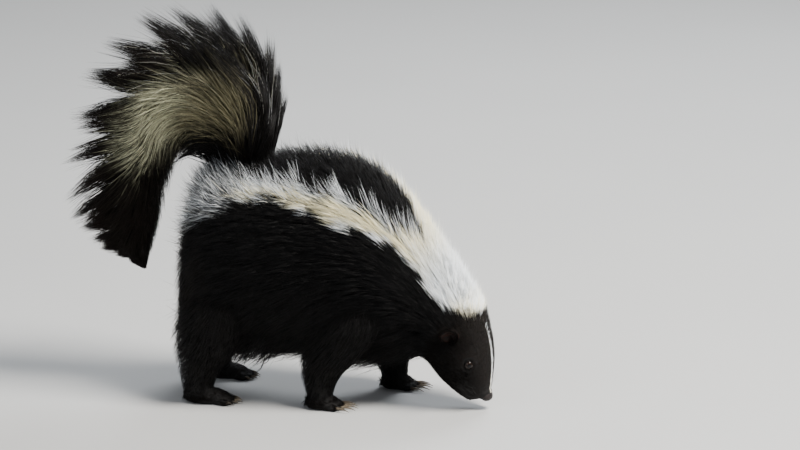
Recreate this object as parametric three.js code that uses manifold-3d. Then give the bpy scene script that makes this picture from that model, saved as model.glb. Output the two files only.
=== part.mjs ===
// A striped skunk, life size: nose down to the ground, back arched, tail raised and curled over the rump.
// Millimetres. +X is forward, +Y is the animal's left, +Z is up, and the ground is z = 0.
import * as THREE from 'three';
import { mergeVertices } from 'three/addons/utils/BufferGeometryUtils.js';
import Module from 'manifold-3d';

const wasm = await Module();
wasm.setup();

// Driving dimensions
const GAP = 0.3; // between two nodes that touch
const HEAD_TURN = THREE.MathUtils.degToRad(-13); // the face is turned to the animal's right
const NECK_PIVOT = new THREE.Vector2(118, 0);
const BODY_FACES_AROUND = 18;
const HEAD_FACES_AROUND = 24;
const TAIL_FACES_AROUND = 10;
const LEG_FACES_AROUND = 10;

const RIGHT = -1;
const LEFT = 1;

// The trunk from rump to nose: a top and a bottom point of the skin in the middle plane [x, z], a half width,
// and how deep the coat lies over the skin at the top, on the side and below.
const TRUNK = [
  { top: [-96, 120], bottom: [-96, 104], half: 6, coat: [16, 16, 13] },
  { top: [-91, 156], bottom: [-91, 76], half: 35, coat: [16, 16, 13] },
  { top: [-77, 188], bottom: [-81, 57], half: 48, coat: [16, 15, 11] },
  { top: [-50, 205], bottom: [-57, 50], half: 56, coat: [16, 15, 9] },
  { top: [-20, 213], bottom: [-26, 49], half: 58, coat: [16, 15, 8] },
  { top: [15, 218], bottom: [8, 49], half: 57, coat: [16, 15, 8] },
  { top: [48, 215], bottom: [38, 49], half: 54, coat: [16, 14, 8] },
  { top: [79, 203], bottom: [66, 47], half: 49, coat: [16, 13, 8] },
  { top: [102, 182], bottom: [88, 46], half: 43, coat: [15, 12, 7] },
  { top: [123, 156], bottom: [103, 47], half: 36, coat: [15, 11, 7] },
  { top: [143, 129], bottom: [113, 49], half: 31, coat: [14, 10, 6] },
  { top: [161, 107], bottom: [121, 48], half: 29, coat: [12, 7, 5] },
  { top: [176, 88], bottom: [128, 43], half: 29, coat: [7, 4, 4] },
  { top: [184, 71], bottom: [134, 36], half: 27, coat: [3, 3, 3] },
  { top: [187.5, 55], bottom: [140, 28], half: 24, coat: [2, 2.2, 2.5] },
  { top: [188.5, 42], bottom: [147, 21], half: 19, coat: [1.5, 1.8, 2] },
  { top: [188, 31], bottom: [154, 15], half: 14.5, coat: [1.2, 1.5, 1.5] },
  { top: [187, 22], bottom: [161, 10.5], half: 11.5, coat: [1, 1.2, 1.2] },
  { top: [184, 15], bottom: [167, 8], half: 8.5, coat: [0.8, 0.8, 0.8] },
  { top: [179, 10.5], bottom: [173.5, 8.5], half: 2.5, coat: [0.5, 0.5, 0.5] },
];
const NECK_FROM = 8.6; // stations along the trunk where the neck and the head begin
const HEAD_FROM = 12.1;
const CORE = 0.45; // how far into its coat the closed core of the body reaches

// The raised tail. Each section gives the outer and the inner edge of the fan of hair [x, z], its half width,
// and where the tail itself lies between them: its distance from the inner edge as a share, and its radius.
const PLUME = [
  { outer: [-6, 205], inner: [-76, 190], half: 26, at: 0.54, radius: 13 },
  { outer: [-9, 236], inner: [-84, 217], half: 38, at: 0.66, radius: 12 },
  { outer: [-11, 278], inner: [-89, 227], half: 48, at: 0.65, radius: 11 },
  { outer: [-24, 322], inner: [-95, 229], half: 54, at: 0.5, radius: 10 },
  { outer: [-76, 344], inner: [-100, 228], half: 56, at: 0.48, radius: 9 },
  { outer: [-145, 333], inner: [-107, 222], half: 55, at: 0.42, radius: 8 },
  { outer: [-192, 284], inner: [-115, 209], half: 52, at: 0.3, radius: 6.5 },
  { outer: [-206, 224], inner: [-122, 189], half: 46, at: 0.26, radius: 5.5 },
  { outer: [-200, 166], inner: [-127, 160], half: 36, at: 0.3, radius: 4 },
  { outer: [-177, 132], inner: [-132, 136], half: 22, at: 0.4, radius: 3 },
  { outer: [-144, 112], inner: [-138, 113], half: 3, at: 0.5, radius: 1 },
];
const PLUME_CUTS = [2.5, 5.6]; // where the tail's base ends and its tip begins
const PLUME_CORE = 0.3;

// Legs down to the wrist or heel: front and back edge [x, z] of each section, its middle in y, its half width,
// and the depth of the coat in front, on the side and behind.
const LEGS = {
  foreleg_right: {
    side: RIGHT,
    stations: [
      { top: [92, 108], bottom: [48, 112], y: 30, half: 15, coat: [4, 4, 5] },
      { top: [92, 80], bottom: [34, 76], y: 38, half: 21, coat: [4, 5, 8] },
      { top: [72, 52], bottom: [26, 50], y: 41, half: 17, coat: [3, 4, 9] },
      { top: [54, 33], bottom: [24, 30], y: 42, half: 12.5, coat: [2, 3, 6] },
      { top: [47, 20], bottom: [24, 16], y: 42, half: 10.5, coat: [1.5, 2, 3] },
      { top: [45, 11], bottom: [25, 8], y: 42, half: 9.5, coat: [1, 1, 2] },
    ],
  },
  foreleg_left: {
    side: LEFT,
    stations: [
      { top: [96, 106], bottom: [60, 110], y: 24, half: 12, coat: [4, 4, 5] },
      { top: [110, 80], bottom: [58, 76], y: 38, half: 20, coat: [4, 5, 8] },
      { top: [104, 52], bottom: [62, 50], y: 40, half: 16, coat: [3, 4, 9] },
      { top: [99, 33], bottom: [71, 30], y: 40, half: 12, coat: [2, 3, 6] },
      { top: [97, 20], bottom: [75, 16], y: 40, half: 10.5, coat: [1.5, 2, 3] },
      { top: [97, 11], bottom: [77, 8], y: 40, half: 9.5, coat: [1, 1, 2] },
    ],
  },
  hindleg_right: {
    side: RIGHT,
    stations: [
      { top: [-24, 120], bottom: [-78, 122], y: 32, half: 15, coat: [5, 5, 9] },
      { top: [-26, 88], bottom: [-86, 86], y: 41, half: 25, coat: [5, 8, 11] },
      { top: [-40, 58], bottom: [-87, 56], y: 44, half: 21, coat: [5, 8, 12] },
      { top: [-56, 36], bottom: [-88, 34], y: 44, half: 15, coat: [4, 5, 9] },
      { top: [-64, 20], bottom: [-90, 18], y: 44, half: 11, coat: [2, 3, 4] },
      { top: [-66, 11], bottom: [-90, 9], y: 44, half: 10, coat: [1, 1.5, 2] },
    ],
  },
  hindleg_left: {
    side: LEFT,
    stations: [
      { top: [-28, 120], bottom: [-80, 122], y: 32, half: 15, coat: [5, 5, 9] },
      { top: [-32, 88], bottom: [-89, 86], y: 41, half: 25, coat: [5, 8, 11] },
      { top: [-46, 58], bottom: [-91, 56], y: 44, half: 21, coat: [5, 8, 12] },
      { top: [-62, 36], bottom: [-93, 34], y: 44, half: 15, coat: [4, 5, 9] },
      { top: [-70, 20], bottom: [-95, 18], y: 44, half: 11, coat: [2, 3, 4] },
      { top: [-72, 11], bottom: [-95, 9], y: 44, half: 10, coat: [1, 1.5, 2] },
    ],
  },
};

// Feet: where the heel of the hand or foot is, its sole's length, half width and height, and its claws.
const FEET = {
  forepaw_right: { leg: 'foreleg_right', heel: 22, y: 42, length: 27, half: 11, high: 15, claw: 13, toe: 8 },
  forepaw_left: { leg: 'foreleg_left', heel: 74, y: 40, length: 27, half: 11, high: 15, claw: 13, toe: 8 },
  hindpaw_right: { leg: 'hindleg_right', heel: -91, y: 44, length: 40, half: 11, high: 15, claw: 6, toe: 8 },
  hindpaw_left: { leg: 'hindleg_left', heel: -96, y: 44, length: 40, half: 11, high: 15, claw: 6, toe: 8 },
};
const TOES = 5;
const TOE_RADIUS = 3.4;
const CLAW_RADIUS = 1.7;
const SOLE_CUT = 0.9; // how much of the rounded pads is flat on the ground

// Places on the head, as trunk stations and degrees down from the top of the head.
const EYE = { station: 14.22, angle: 63, radius: 4.2, sunk: 1.7, lid: 1.05 };
const EAR = { station: 12.2, angle: 73, high: 11, wide: 9, thick: 3.4, cup: 0.74 };
const NOSE = { at: [183.5, 0, 13], radius: [5.6, 7.2, 5.2], nostril: 1.5, nostrilSide: 2.9 };
const MOUTH = { from: 18.2, to: 15.9, angle: 118, rise: -9, lip: 1.25, line: 0.55 };

// Rows of locks. A row stands at a station of its loft; reach is how far along the loft a lock goes, width and
// thick are half sizes at its widest, and bends is the number of straight lengths that it is made of.
const TORSO_LOCKS = {
  first: 0.85, last: 8, step: 1.24, spacing: 52, reach: -2.15, width: 20, thick: 5, bends: 3,
};
const NECK_LOCKS = {
  first: 9.4, last: 11.8, step: 1.2, spacing: 40, reach: -2, width: 16, thick: 3.4, bends: 3,
};
const TAIL_LOCKS = {
  first: 0.6, last: 7.8, step: 0.65, around: 7, reach: 1.45, width: 15, thick: 3.6, bends: 3,
};
const LEG_LOCKS = {
  first: 0.55, last: 3.2, step: 1.3, spacing: 25, reach: 1.6, width: 11.5, thick: 2.8, bends: 2,
};
const LOCK_SIDES = 3;
const UNEVEN = 0.22; // how much the locks differ from one another
const SLIVER = 0.1; // edges shorter than this are closed up

// Turns three.js geometry into a solid, with its shared points merged and its empty triangles left out.
function solidOf(geometry) {
  geometry.deleteAttribute('normal');
  geometry.deleteAttribute('uv');
  const merged = mergeVertices(geometry, 1e-4);
  const faces = [];
  for (let i = 0; i < merged.index.count; i += 3) {
    const [a, b, c] = [0, 1, 2].map((k) => merged.index.getX(i + k));
    if (a !== b && b !== c && a !== c) faces.push(a, b, c);
  }
  const mesh = new wasm.Mesh({
    numProp: 3,
    vertProperties: new Float32Array(merged.attributes.position.array),
    triVerts: new Uint32Array(faces),
  });
  const solid = new wasm.Manifold(mesh);
  if (solid.volume() > 0) return solid;
  for (let i = 0; i < faces.length; i += 3) [faces[i], faces[i + 1]] = [faces[i + 1], faces[i]];
  mesh.triVerts = new Uint32Array(faces);
  return new wasm.Manifold(mesh);
}

function geometryOf(solid) {
  const mesh = solid.getMesh();
  return new THREE.BufferGeometry()
    .setAttribute('position', new THREE.BufferAttribute(mesh.vertProperties, 3))
    .setIndex(new THREE.BufferAttribute(mesh.triVerts, 1));
}

// The largest closed piece of a solid.
function largest(solid) {
  return solid.decompose().reduce((best, piece) => (piece.volume() > best.volume() ? piece : best));
}

// Draws numbers from 0 to 1, the same ones at each run.
function seeded(seed) {
  let state = seed;
  return () => {
    state = (state * 1664525 + 1013904223) % 4294967296;
    return state / 4294967296;
  };
}

// A body lofted through sections, each given by its top and bottom point in a plane of constant y.
class Loft {
  constructor(stations, { side = LEFT, turned = false } = {}) {
    this.last = stations.length - 1;
    this.side = side;
    this.turned = turned;
    const curve = (pick) => new THREE.CatmullRomCurve3(stations.map(pick), false, 'catmullrom', 0.5);
    this.top = curve((s) => new THREE.Vector3(s.top[0], s.y ?? 0, s.top[1]));
    this.bottom = curve((s) => new THREE.Vector3(s.bottom[0], s.y ?? 0, s.bottom[1]));
    this.half = curve((s) => new THREE.Vector3(s.half, 0, 0));
    this.coat = curve((s) => new THREE.Vector3(...s.coat));
  }

  // The coat's depth at a place along the loft (0 to 1) and an angle down from the top.
  coatDepth(t, angle) {
    const [above, beside, below] = this.coat.getPoint(t).toArray();
    const up = Math.cos(angle);
    return beside + (up > 0 ? above - beside : below - beside) * up * up;
  }

  // A point of the surface, moved out by a share of the coat's depth and by a fixed distance.
  point(station, angle, share = 0, grow = 0) {
    const t = THREE.MathUtils.clamp(station / this.last, 0, 1);
    const top = this.top.getPoint(t);
    const bottom = this.bottom.getPoint(t);
    const p = top.clone().add(bottom).multiplyScalar(0.5);
    const rise = top.sub(bottom).multiplyScalar(0.5);
    const out = grow + share * this.coatDepth(t, angle);
    const high = rise.length() + out;
    const wide = Math.max(this.half.getPoint(t).x, 0.2) + out;
    p.addScaledVector(rise.normalize(), high * Math.cos(angle));
    p.y = this.side * (p.y + wide * Math.sin(angle));
    return this.turned ? turnHead(p, station) : p;
  }

  middle(station, share = 0) {
    return this.point(station, 0, share).add(this.point(station, Math.PI, share)).multiplyScalar(0.5);
  }

  // The direction in which the stations run.
  heading(station) {
    const [before, after] = [-0.05, 0.05].map((step) => THREE.MathUtils.clamp(station + step, 0, this.last));
    return this.middle(after).sub(this.middle(before)).normalize();
  }

  // The length of the way round at a station.
  girth(station, share) {
    const [top, side, bottom] = [0, Math.PI / 2, Math.PI].map((angle) => this.point(station, angle, share));
    const high = top.distanceTo(bottom) / 2;
    const wide = side.distanceTo(top.add(bottom).multiplyScalar(0.5));
    return Math.PI * (high + wide);
  }

  // The outward normal of the surface.
  normal(station, angle, share = 0) {
    const step = 0.02;
    const s = THREE.MathUtils.clamp(station, step, this.last - step);
    const along = this.point(s + step, angle, share).sub(this.point(s - step, angle, share));
    const round = this.point(s, angle + step, share).sub(this.point(s, angle - step, share));
    const n = along.cross(round).normalize();
    return n.dot(this.point(s, angle, share).sub(this.middle(s, share))) < 0 ? n.negate() : n;
  }

  // A closed solid between two stations; grow moves its wall and its ends out.
  solid({ from = 0, to = this.last, around, along, share = 0, grow = 0 }) {
    const geometry = new THREE.CylinderGeometry(1, 1, 1, around, along);
    const position = geometry.getAttribute('position');
    for (let i = 0; i < position.count; i += 1) {
      const [x, y, z] = [position.getX(i), position.getY(i), position.getZ(i)];
      const station = THREE.MathUtils.lerp(from, to, y + 0.5);
      const onAxis = Math.hypot(x, z) < 0.5;
      const angle = Math.atan2(x, z);
      const p = onAxis ? this.middle(station, share) : this.point(station, angle, share, grow);
      p.addScaledVector(this.heading(station), grow * (Number(y > 0.49) - Number(y < -0.49)));
      position.setXYZ(i, p.x, p.y, p.z);
    }
    return solidOf(geometry);
  }

  // A lock of hair: a flat blade with a low ridge that rises out of the core and bends over along the coat.
  lock({ station, angle, reach, drift, width, thick, bends, root = 0, tip = 1, roll = 0, grow = 0 }) {
    const path = (t) => {
      const along = station + reach * t ** 1.1;
      const share = THREE.MathUtils.lerp(root, tip, Math.sin((t * Math.PI) / 2) ** 1.1);
      return { along, round: angle + drift * t * (0.5 + 0.5 * t), share };
    };
    const at = (t) => {
      const { along, round, share } = path(t);
      return this.point(along, round, share);
    };
    const ends = (t) => Number(t > 0.99) - Number(t < 0.01);
    const edge = Math.atan2(1.5 * thick, Math.cos(Math.PI / 6) * width); // the blade's angle at its two edges
    const geometry = new THREE.ConeGeometry(1, 1, LOCK_SIDES, bends);
    const position = geometry.getAttribute('position');
    for (let i = 0; i < position.count; i += 1) {
      const t = position.getY(i) + 0.5;
      const radius = Math.hypot(position.getX(i), position.getZ(i));
      const [across, out] = radius ? [position.getX(i) / radius, position.getZ(i) / radius] : [0, 0];
      const heading = at(Math.min(1, t + 0.03)).sub(at(Math.max(0, t - 0.03))).normalize();
      const { along, round } = path(t);
      const side = this.normal(along, round, 0.7).cross(heading).normalize().applyAxisAngle(heading, roll);
      const up = heading.clone().cross(side).normalize();
      const taper = (1 - t ** 2.2) * (0.75 + 0.6 * t);
      const p = at(t)
        .addScaledVector(side, across * width * taper + Math.round(across) * (grow / Math.tan(edge / 2)))
        .addScaledVector(up, out * thick * taper + Math.sign(out) * (out > 0 ? grow / Math.cos(edge) : grow))
        .addScaledVector(heading, 3 * grow * ends(t));
      position.setXYZ(i, p.x, p.y, p.z);
    }
    return solidOf(geometry);
  }
}

// Turns the neck and head to the side, more and more from the shoulders to the back of the skull.
function turnHead(p, station) {
  const turn = HEAD_TURN * THREE.MathUtils.smoothstep(station, 8.5, 12.5);
  const flat = new THREE.Vector2(p.x, p.y).rotateAround(NECK_PIVOT, turn);
  return new THREE.Vector3(flat.x, flat.y, p.z);
}

// An ellipsoid with its own axes, given as a centre, three radii and three directions.
function ellipsoid(centre, radii, axes, grow = 0, detail = [12, 8]) {
  const geometry = new THREE.SphereGeometry(1, ...detail);
  const [x, y, z] = radii.map((r) => r + grow);
  geometry.scale(x, y, z);
  geometry.applyMatrix4(new THREE.Matrix4().makeBasis(...axes).setPosition(centre));
  return solidOf(geometry);
}

// A tube along a curve, with twice the sides that are asked for.
function tube(points, radius, sides, steps) {
  const section = new THREE.Shape().absarc(0, 0, radius, 0, Math.PI * 2);
  const path = new THREE.CatmullRomCurve3(points);
  const options = { steps, bevelEnabled: false, extrudePath: path, curveSegments: sides };
  return solidOf(new THREE.ExtrudeGeometry(section, options));
}

// The tail's flesh as a section of a loft, with the fan of hair as the coat over it.
function tailSection({ outer, inner, half, at, radius }) {
  const [high, low] = [new THREE.Vector2(...outer), new THREE.Vector2(...inner)];
  const centre = low.clone().lerp(high, at);
  const across = high.clone().sub(low).normalize();
  const rim = (sign) => centre.clone().addScaledVector(across, sign * radius).toArray();
  const coat = [high.distanceTo(centre), half, low.distanceTo(centre)].map((reach) => reach - radius);
  return { top: rim(1), bottom: rim(-1), half: radius, coat };
}

const trunk = new Loft(TRUNK, { turned: true });
const tail = new Loft(PLUME.map(tailSection));
const legs = Object.fromEntries(
  Object.entries(LEGS).map(([name, { side, stations }]) => [name, new Loft(stations, { side })]),
);

// The locks of a coat, row by row. The lie says how a lock bends where it grows, or null where none does.
function coatLocks(loft, plan, seed, lie) {
  const random = seeded(seed);
  const vary = (share = 1) => 1 + share * UNEVEN * (2 * random() - 1);
  const rows = Math.round((plan.last - plan.first) / plan.step);
  const locks = [];
  for (let row = 0; row <= rows; row += 1) {
    const station = THREE.MathUtils.lerp(plan.first, plan.last, row / rows);
    const count = plan.around ?? Math.round(loft.girth(station, 0.8) / plan.spacing);
    for (let i = 0; i < count; i += 1) {
      const angle = ((i + (row % 2) / 2 + 0.25 * random()) / count) * Math.PI * 2 - Math.PI;
      const size = { reach: plan.reach * vary(), width: plan.width * vary(), thick: plan.thick * vary() };
      const bend = lie(station, angle, vary);
      if (bend) locks.push({ station, angle, bends: plan.bends, ...size, ...bend });
    }
  }
  return locks;
}

// Hair on the trunk lies back along it and droops on the flanks, more on the rump. The belly has less of it.
function trunkLie(station, angle, vary) {
  const low = THREE.MathUtils.smoothstep(Math.abs(angle), 0.8, 2.1);
  const under = THREE.MathUtils.smoothstep(Math.abs(angle), 2.4, 3);
  const rear = 1 - THREE.MathUtils.smoothstep(station, 0.5, 3);
  if ((under > 0.3 || station < 1) && vary() < 1) return null;
  const drift = Math.sign(angle) * (low + 0.8 * rear) * (1 - under) * 0.45 + 0.8 * (vary() - 1);
  const bend = { drift, tip: vary(0.7) + 0.25 * rear };
  if (station + TORSO_LOCKS.reach < 0.2) bend.reach = 0.2 - station;
  return bend;
}

// Hair on the tail stands out from it and sweeps towards its tip, farther along and sparser inside the bend.
function tailLie(station, angle, vary) {
  const inside = (1 - Math.cos(angle)) / 2;
  if (inside > 0.7 && vary() < 1.05) return null;
  const reach = Math.min((TAIL_LOCKS.reach + 0.7 * inside) * vary(), tail.last - 0.02 - station);
  const roll = inside < 0.4 && vary() > 0.9 ? Math.PI / 2 : 0;
  return { reach, drift: 0.8 * (vary() - 1), root: 0.05, tip: vary(0.35), roll };
}

// On a leg only the back and the outer side have long hair.
function legLie(station, angle, vary) {
  const back = Math.abs(angle) > 1.2;
  return back ? { drift: 0.2 * (vary() - 1), root: -0.6, tip: 1.1 * vary() } : null;
}

const torsoLocks = coatLocks(trunk, TORSO_LOCKS, 11, trunkLie);
const neckLocks = coatLocks(trunk, NECK_LOCKS, 23, trunkLie);
const tailLocks = coatLocks(tail, TAIL_LOCKS, 37, tailLie);
const legLocks = Object.fromEntries(
  Object.entries(legs).map(([name, leg], i) => [name, coatLocks(leg, LEG_LOCKS, 51 + i, legLie)]),
);

// A core and the locks on it, joined; grown all over when it is to cut a neighbour clear.
function coated(loft, core, locks, grow = 0) {
  const pieces = locks.map((lock) => loft.lock({ ...lock, grow }));
  return wasm.Manifold.union([loft.solid({ ...core, grow }), ...pieces]);
}

const seam = 0.012; // half the gap between two lengths of one loft, in stations
const cores = {
  torso: { to: NECK_FROM - seam, around: BODY_FACES_AROUND, along: 9, share: CORE },
  neck: {
    from: NECK_FROM + seam, to: HEAD_FROM - 2 * seam, around: BODY_FACES_AROUND, along: 4, share: CORE,
  },
  leg: { around: LEG_FACES_AROUND, along: 4, share: CORE },
  tail: { around: TAIL_FACES_AROUND, share: PLUME_CORE },
};
const torso = (grow) => coated(trunk, cores.torso, torsoLocks, grow);
const neck = (grow) => coated(trunk, cores.neck, neckLocks, grow);
const leg = (name, grow) => coated(legs[name], cores.leg, legLocks[name], grow);
const headShape = { from: HEAD_FROM, around: HEAD_FACES_AROUND, along: 11, share: 1 };
const headShell = (grow = 0) => trunk.solid({ ...headShape, grow });

// One length of the tail: its core between two stations, and the locks that grow on it.
function tailLength(from, to, grow) {
  const along = Math.ceil((to - from) * 1.2);
  const core = { ...cores.tail, from: from + (from ? seam : 0), to: to - seam, along };
  const rooted = tailLocks.filter(({ station }) => station >= from && station < to);
  return coated(tail, core, rooted, grow);
}
const [firstCut, secondCut] = PLUME_CUTS;
const tailBase = (grow) => tailLength(0, firstCut, grow);
const tailMiddle = (grow) => tailLength(firstCut, secondCut, grow);
const tailTip = (grow) => tailLength(secondCut, tail.last, grow);

// A solid cut clear of its neighbours, as its one largest piece and without slivers.
function clear(solid, ...neighbours) {
  const cut = neighbours.reduce((rest, neighbour) => rest.subtract(neighbour), solid);
  return largest(cut.simplify(SLIVER));
}

// The axes of a place on the head: out of the surface, towards the nose, and across.
function placeOnHead({ station, angle }, side) {
  const theta = side * THREE.MathUtils.degToRad(angle);
  const at = trunk.point(station, theta, 0.5);
  const out = trunk.normal(station, theta);
  const forward = trunk.point(station + 0.3, theta).sub(trunk.point(station - 0.3, theta)).normalize();
  const across = new THREE.Vector3().crossVectors(out, forward).normalize();
  return { at, out, forward: new THREE.Vector3().crossVectors(across, out), across };
}

function eyeball(side, grow = 0) {
  const { at, out, forward, across } = placeOnHead(EYE, side);
  const centre = at.addScaledVector(out, -EYE.sunk);
  return ellipsoid(centre, [EYE.radius, EYE.radius, EYE.radius], [across, forward, out], grow, [12, 8]);
}

// The rims of the two lids, a flattened ring sunk into the face round the eyeball.
function lids(side) {
  const { at, out, forward, across } = placeOnHead(EYE, side);
  const ring = new THREE.TorusGeometry(EYE.radius * 0.92, EYE.lid, 5, 14);
  ring.scale(0.86, 1.18, 1.15);
  at.addScaledVector(out, -0.1);
  ring.applyMatrix4(new THREE.Matrix4().makeBasis(across, forward, out).setPosition(at));
  return solidOf(ring);
}

// An ear is a thin oval leaf that leans over and opens forward; share below 1 gives the cup inside it.
function earBlock(side, grow = 0, share = 1) {
  const { at, out, forward } = placeOnHead(EAR, side);
  const lean = out.clone().multiplyScalar(0.75).addScaledVector(forward, -0.66).normalize();
  const face = forward.clone().multiplyScalar(0.75).addScaledVector(out, 0.66).normalize();
  const wide = new THREE.Vector3().crossVectors(lean, face).normalize();
  const centre = at.addScaledVector(lean, EAR.high * 0.42);
  if (share < 1) centre.addScaledVector(face, EAR.thick * 0.95).addScaledVector(lean, EAR.high * 0.1);
  const radii = [EAR.wide * share, EAR.thick * (share < 1 ? 1.1 : 1), EAR.high * share];
  return ellipsoid(centre, radii, [wide, face, lean], grow, [12, 8]);
}

function noseAxes() {
  const tilt = new THREE.Matrix4().makeRotationZ(HEAD_TURN).multiply(new THREE.Matrix4().makeRotationY(0.5));
  return [0, 1, 2].map((column) => new THREE.Vector3().setFromMatrixColumn(tilt, column));
}

const noseCentre = () => turnHead(new THREE.Vector3(...NOSE.at), trunk.last);

function noseBlock(grow = 0) {
  return ellipsoid(noseCentre(), NOSE.radius, noseAxes(), grow, [12, 8]);
}

function nostril(side) {
  const axes = noseAxes();
  const centre = noseCentre()
    .addScaledVector(axes[0], NOSE.radius[0] * 0.82)
    .addScaledVector(axes[1], side * NOSE.nostrilSide)
    .addScaledVector(axes[2], -1);
  return ellipsoid(centre, [NOSE.nostril * 1.5, NOSE.nostril * 0.8, NOSE.nostril], axes, 0, [7, 5]);
}

// The mouth runs back from under the nose on both sides, given as a line just outside or inside the skin.
function mouthPath(out) {
  const points = [];
  const count = 6;
  for (let i = -count; i <= count; i += 1) {
    const t = Math.abs(i) / count;
    const station = THREE.MathUtils.lerp(MOUTH.from, MOUTH.to, t ** 1.5);
    const edge = THREE.MathUtils.lerp(180, MOUTH.angle + MOUTH.rise * t, Math.min(1, t * 2.4));
    points.push(trunk.point(station, (Math.sign(i) || 1) * THREE.MathUtils.degToRad(edge), 1, out));
  }
  return points;
}

function headSolid() {
  const lips = tube(mouthPath(-0.7), MOUTH.lip, 2, 10);
  const head = wasm.Manifold.union([headShell(), lids(RIGHT), lids(LEFT), lips]);
  const mouth = tube(mouthPath(0.25), MOUTH.line, 2, 10);
  const eyes = [eyeball(RIGHT, GAP), eyeball(LEFT, GAP)];
  return clear(head, mouth, ...eyes, noseBlock(GAP), earBlock(RIGHT, GAP), earBlock(LEFT, GAP));
}

// A claw: a cone bent along an arc and a little flattened.
function clawSolid(arc) {
  const path = new THREE.CatmullRomCurve3(arc);
  const geometry = new THREE.ConeGeometry(1, 1, 4, 2);
  const position = geometry.getAttribute('position');
  for (let i = 0; i < position.count; i += 1) {
    const p = path.getPoint(position.getY(i) + 0.5);
    p.y += position.getX(i) * CLAW_RADIUS * 0.75;
    p.z += position.getZ(i) * CLAW_RADIUS;
    position.setXYZ(i, p.x, p.y, p.z);
  }
  return solidOf(geometry);
}

// A toe of a foot with its claw; spread goes from -1 to 1 across the foot.
function toePieces(foot, middle, spread) {
  const up = new THREE.Vector3(0, 0, 1);
  const along = new THREE.Vector3(1, 0, 0).applyAxisAngle(up, spread * 0.3);
  const across = new THREE.Vector3().crossVectors(up, along);
  const reach = foot.length / 2 - 4.5 * spread * spread;
  const toe = new THREE.Vector3(middle.x + reach, middle.y + spread * (foot.half - 2.4), TOE_RADIUS);
  const pad = ellipsoid(toe, [foot.toe, TOE_RADIUS, TOE_RADIUS + 0.9], [along, across, up], 0, [6, 4]);
  const knuckle = toe.clone().addScaledVector(along, foot.toe - 2.5);
  const arc = [0, 0.35, 0.7, 1].map((t) => knuckle.clone()
    .addScaledVector(along, t * (foot.claw + 2))
    .addScaledVector(up, 1.6 * Math.sin(t * Math.PI * 0.8) - 1.9 * t));
  return [pad, clawSolid(arc)];
}

// A paw: a flat-soled pad, five toes and their claws.
function pawSolid(name) {
  const foot = FEET[name];
  const { side } = LEGS[foot.leg];
  const middle = new THREE.Vector3(foot.heel + foot.length / 2, side * foot.y, foot.high * 0.42);
  const axes = [new THREE.Vector3(1, 0, 0), new THREE.Vector3(0, 1, 0), new THREE.Vector3(0, 0, 1)];
  const pieces = [ellipsoid(middle, [foot.length / 2 + 2, foot.half, foot.high / 2 + 1], axes, 0, [10, 6])];
  for (let i = 0; i < TOES; i += 1) pieces.push(...toePieces(foot, middle, (i / (TOES - 1)) * 2 - 1));
  const paw = wasm.Manifold.union(pieces).trimByPlane([0, 0, 1], SOLE_CUT);
  return clear(paw.translate([0, 0, -SOLE_CUT]), leg(foot.leg, GAP));
}

const BLACK_FUR = { color: 0x0d0c0b, roughness: 0.75, metalness: 0 };
const WHITE_FUR = { color: 0xe9e6da, roughness: 0.75, metalness: 0 };
const TAIL_FUR = { color: 0x2a2720, roughness: 0.8, metalness: 0 };
const EAR_SKIN = { color: 0x3a2622, roughness: 0.7, metalness: 0 };
const NOSE_SKIN = { color: 0x171312, roughness: 0.4, metalness: 0 };
const EYE_GLOSS = { color: 0x050506, roughness: 0.08, metalness: 0 };

const animal = new THREE.Group();
function addNode(name, solid, finish) {
  const mesh = new THREE.Mesh(geometryOf(solid), new THREE.MeshStandardMaterial(finish));
  mesh.name = name;
  animal.add(mesh);
}

// The body's cores come first, then the limbs cut clear of them, and the long coat is cut clear of the limbs.
const torsoCore = trunk.solid({ ...cores.torso, grow: GAP });
const neckCore = trunk.solid({ ...cores.neck, grow: GAP });
const limbs = Object.keys(LEGS).map((name) => leg(name, GAP));
const hollowEars = (side) => clear(earBlock(side), earBlock(side, 0, EAR.cup));

addNode('head', headSolid(), BLACK_FUR);
addNode('nose', clear(noseBlock(), nostril(RIGHT), nostril(LEFT)), NOSE_SKIN);
for (const [suffix, side] of [['right', RIGHT], ['left', LEFT]]) {
  addNode(`eye_${suffix}`, eyeball(side), EYE_GLOSS);
  addNode(`ear_${suffix}`, hollowEars(side), EAR_SKIN);
}
const headAndEars = [headShell(GAP), earBlock(RIGHT, GAP), earBlock(LEFT, GAP)];
addNode('neck', clear(neck(), ...headAndEars, ...limbs, torsoCore), WHITE_FUR);
addNode('torso', clear(torso(), neck(GAP), tailBase(GAP), ...limbs), BLACK_FUR);
for (const name of Object.keys(LEGS)) addNode(name, clear(leg(name), torsoCore, neckCore), BLACK_FUR);
for (const name of Object.keys(FEET)) addNode(name, pawSolid(name), BLACK_FUR);
addNode('tail_base', clear(tailBase(), torsoCore), TAIL_FUR);
addNode('tail_middle', clear(tailMiddle(), tailBase(GAP)), TAIL_FUR);
addNode('tail_tip', clear(tailTip(), tailBase(GAP), tailMiddle(GAP)), TAIL_FUR);

// The origin is on the ground, under the middle of the whole outline.
const box = new THREE.Box3().setFromObject(animal);
const middle = box.getCenter(new THREE.Vector3());
animal.position.set(-middle.x, -middle.y, -box.min.z);
const skunk = new THREE.Group();
skunk.add(animal);
export default skunk;
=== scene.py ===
"""A life-size museum model of a striped skunk, nose to the ground with its tail raised and curled.

The animal is drawn in millimetres as a few lofted bodies: the trunk from rump to nose, the tail and four
legs. One skin covers them all, and the coat grows from the same lofts as tufts of solid mesh that bend,
overlap and lie the way the hair does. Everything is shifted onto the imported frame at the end.
"""

from __future__ import annotations

import logging
import math
from dataclasses import InitVar, dataclass, field
from enum import Enum

import bmesh
import bpy
import numpy as np
from mathutils import Matrix, Vector
from mathutils.kdtree import KDTree

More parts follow.
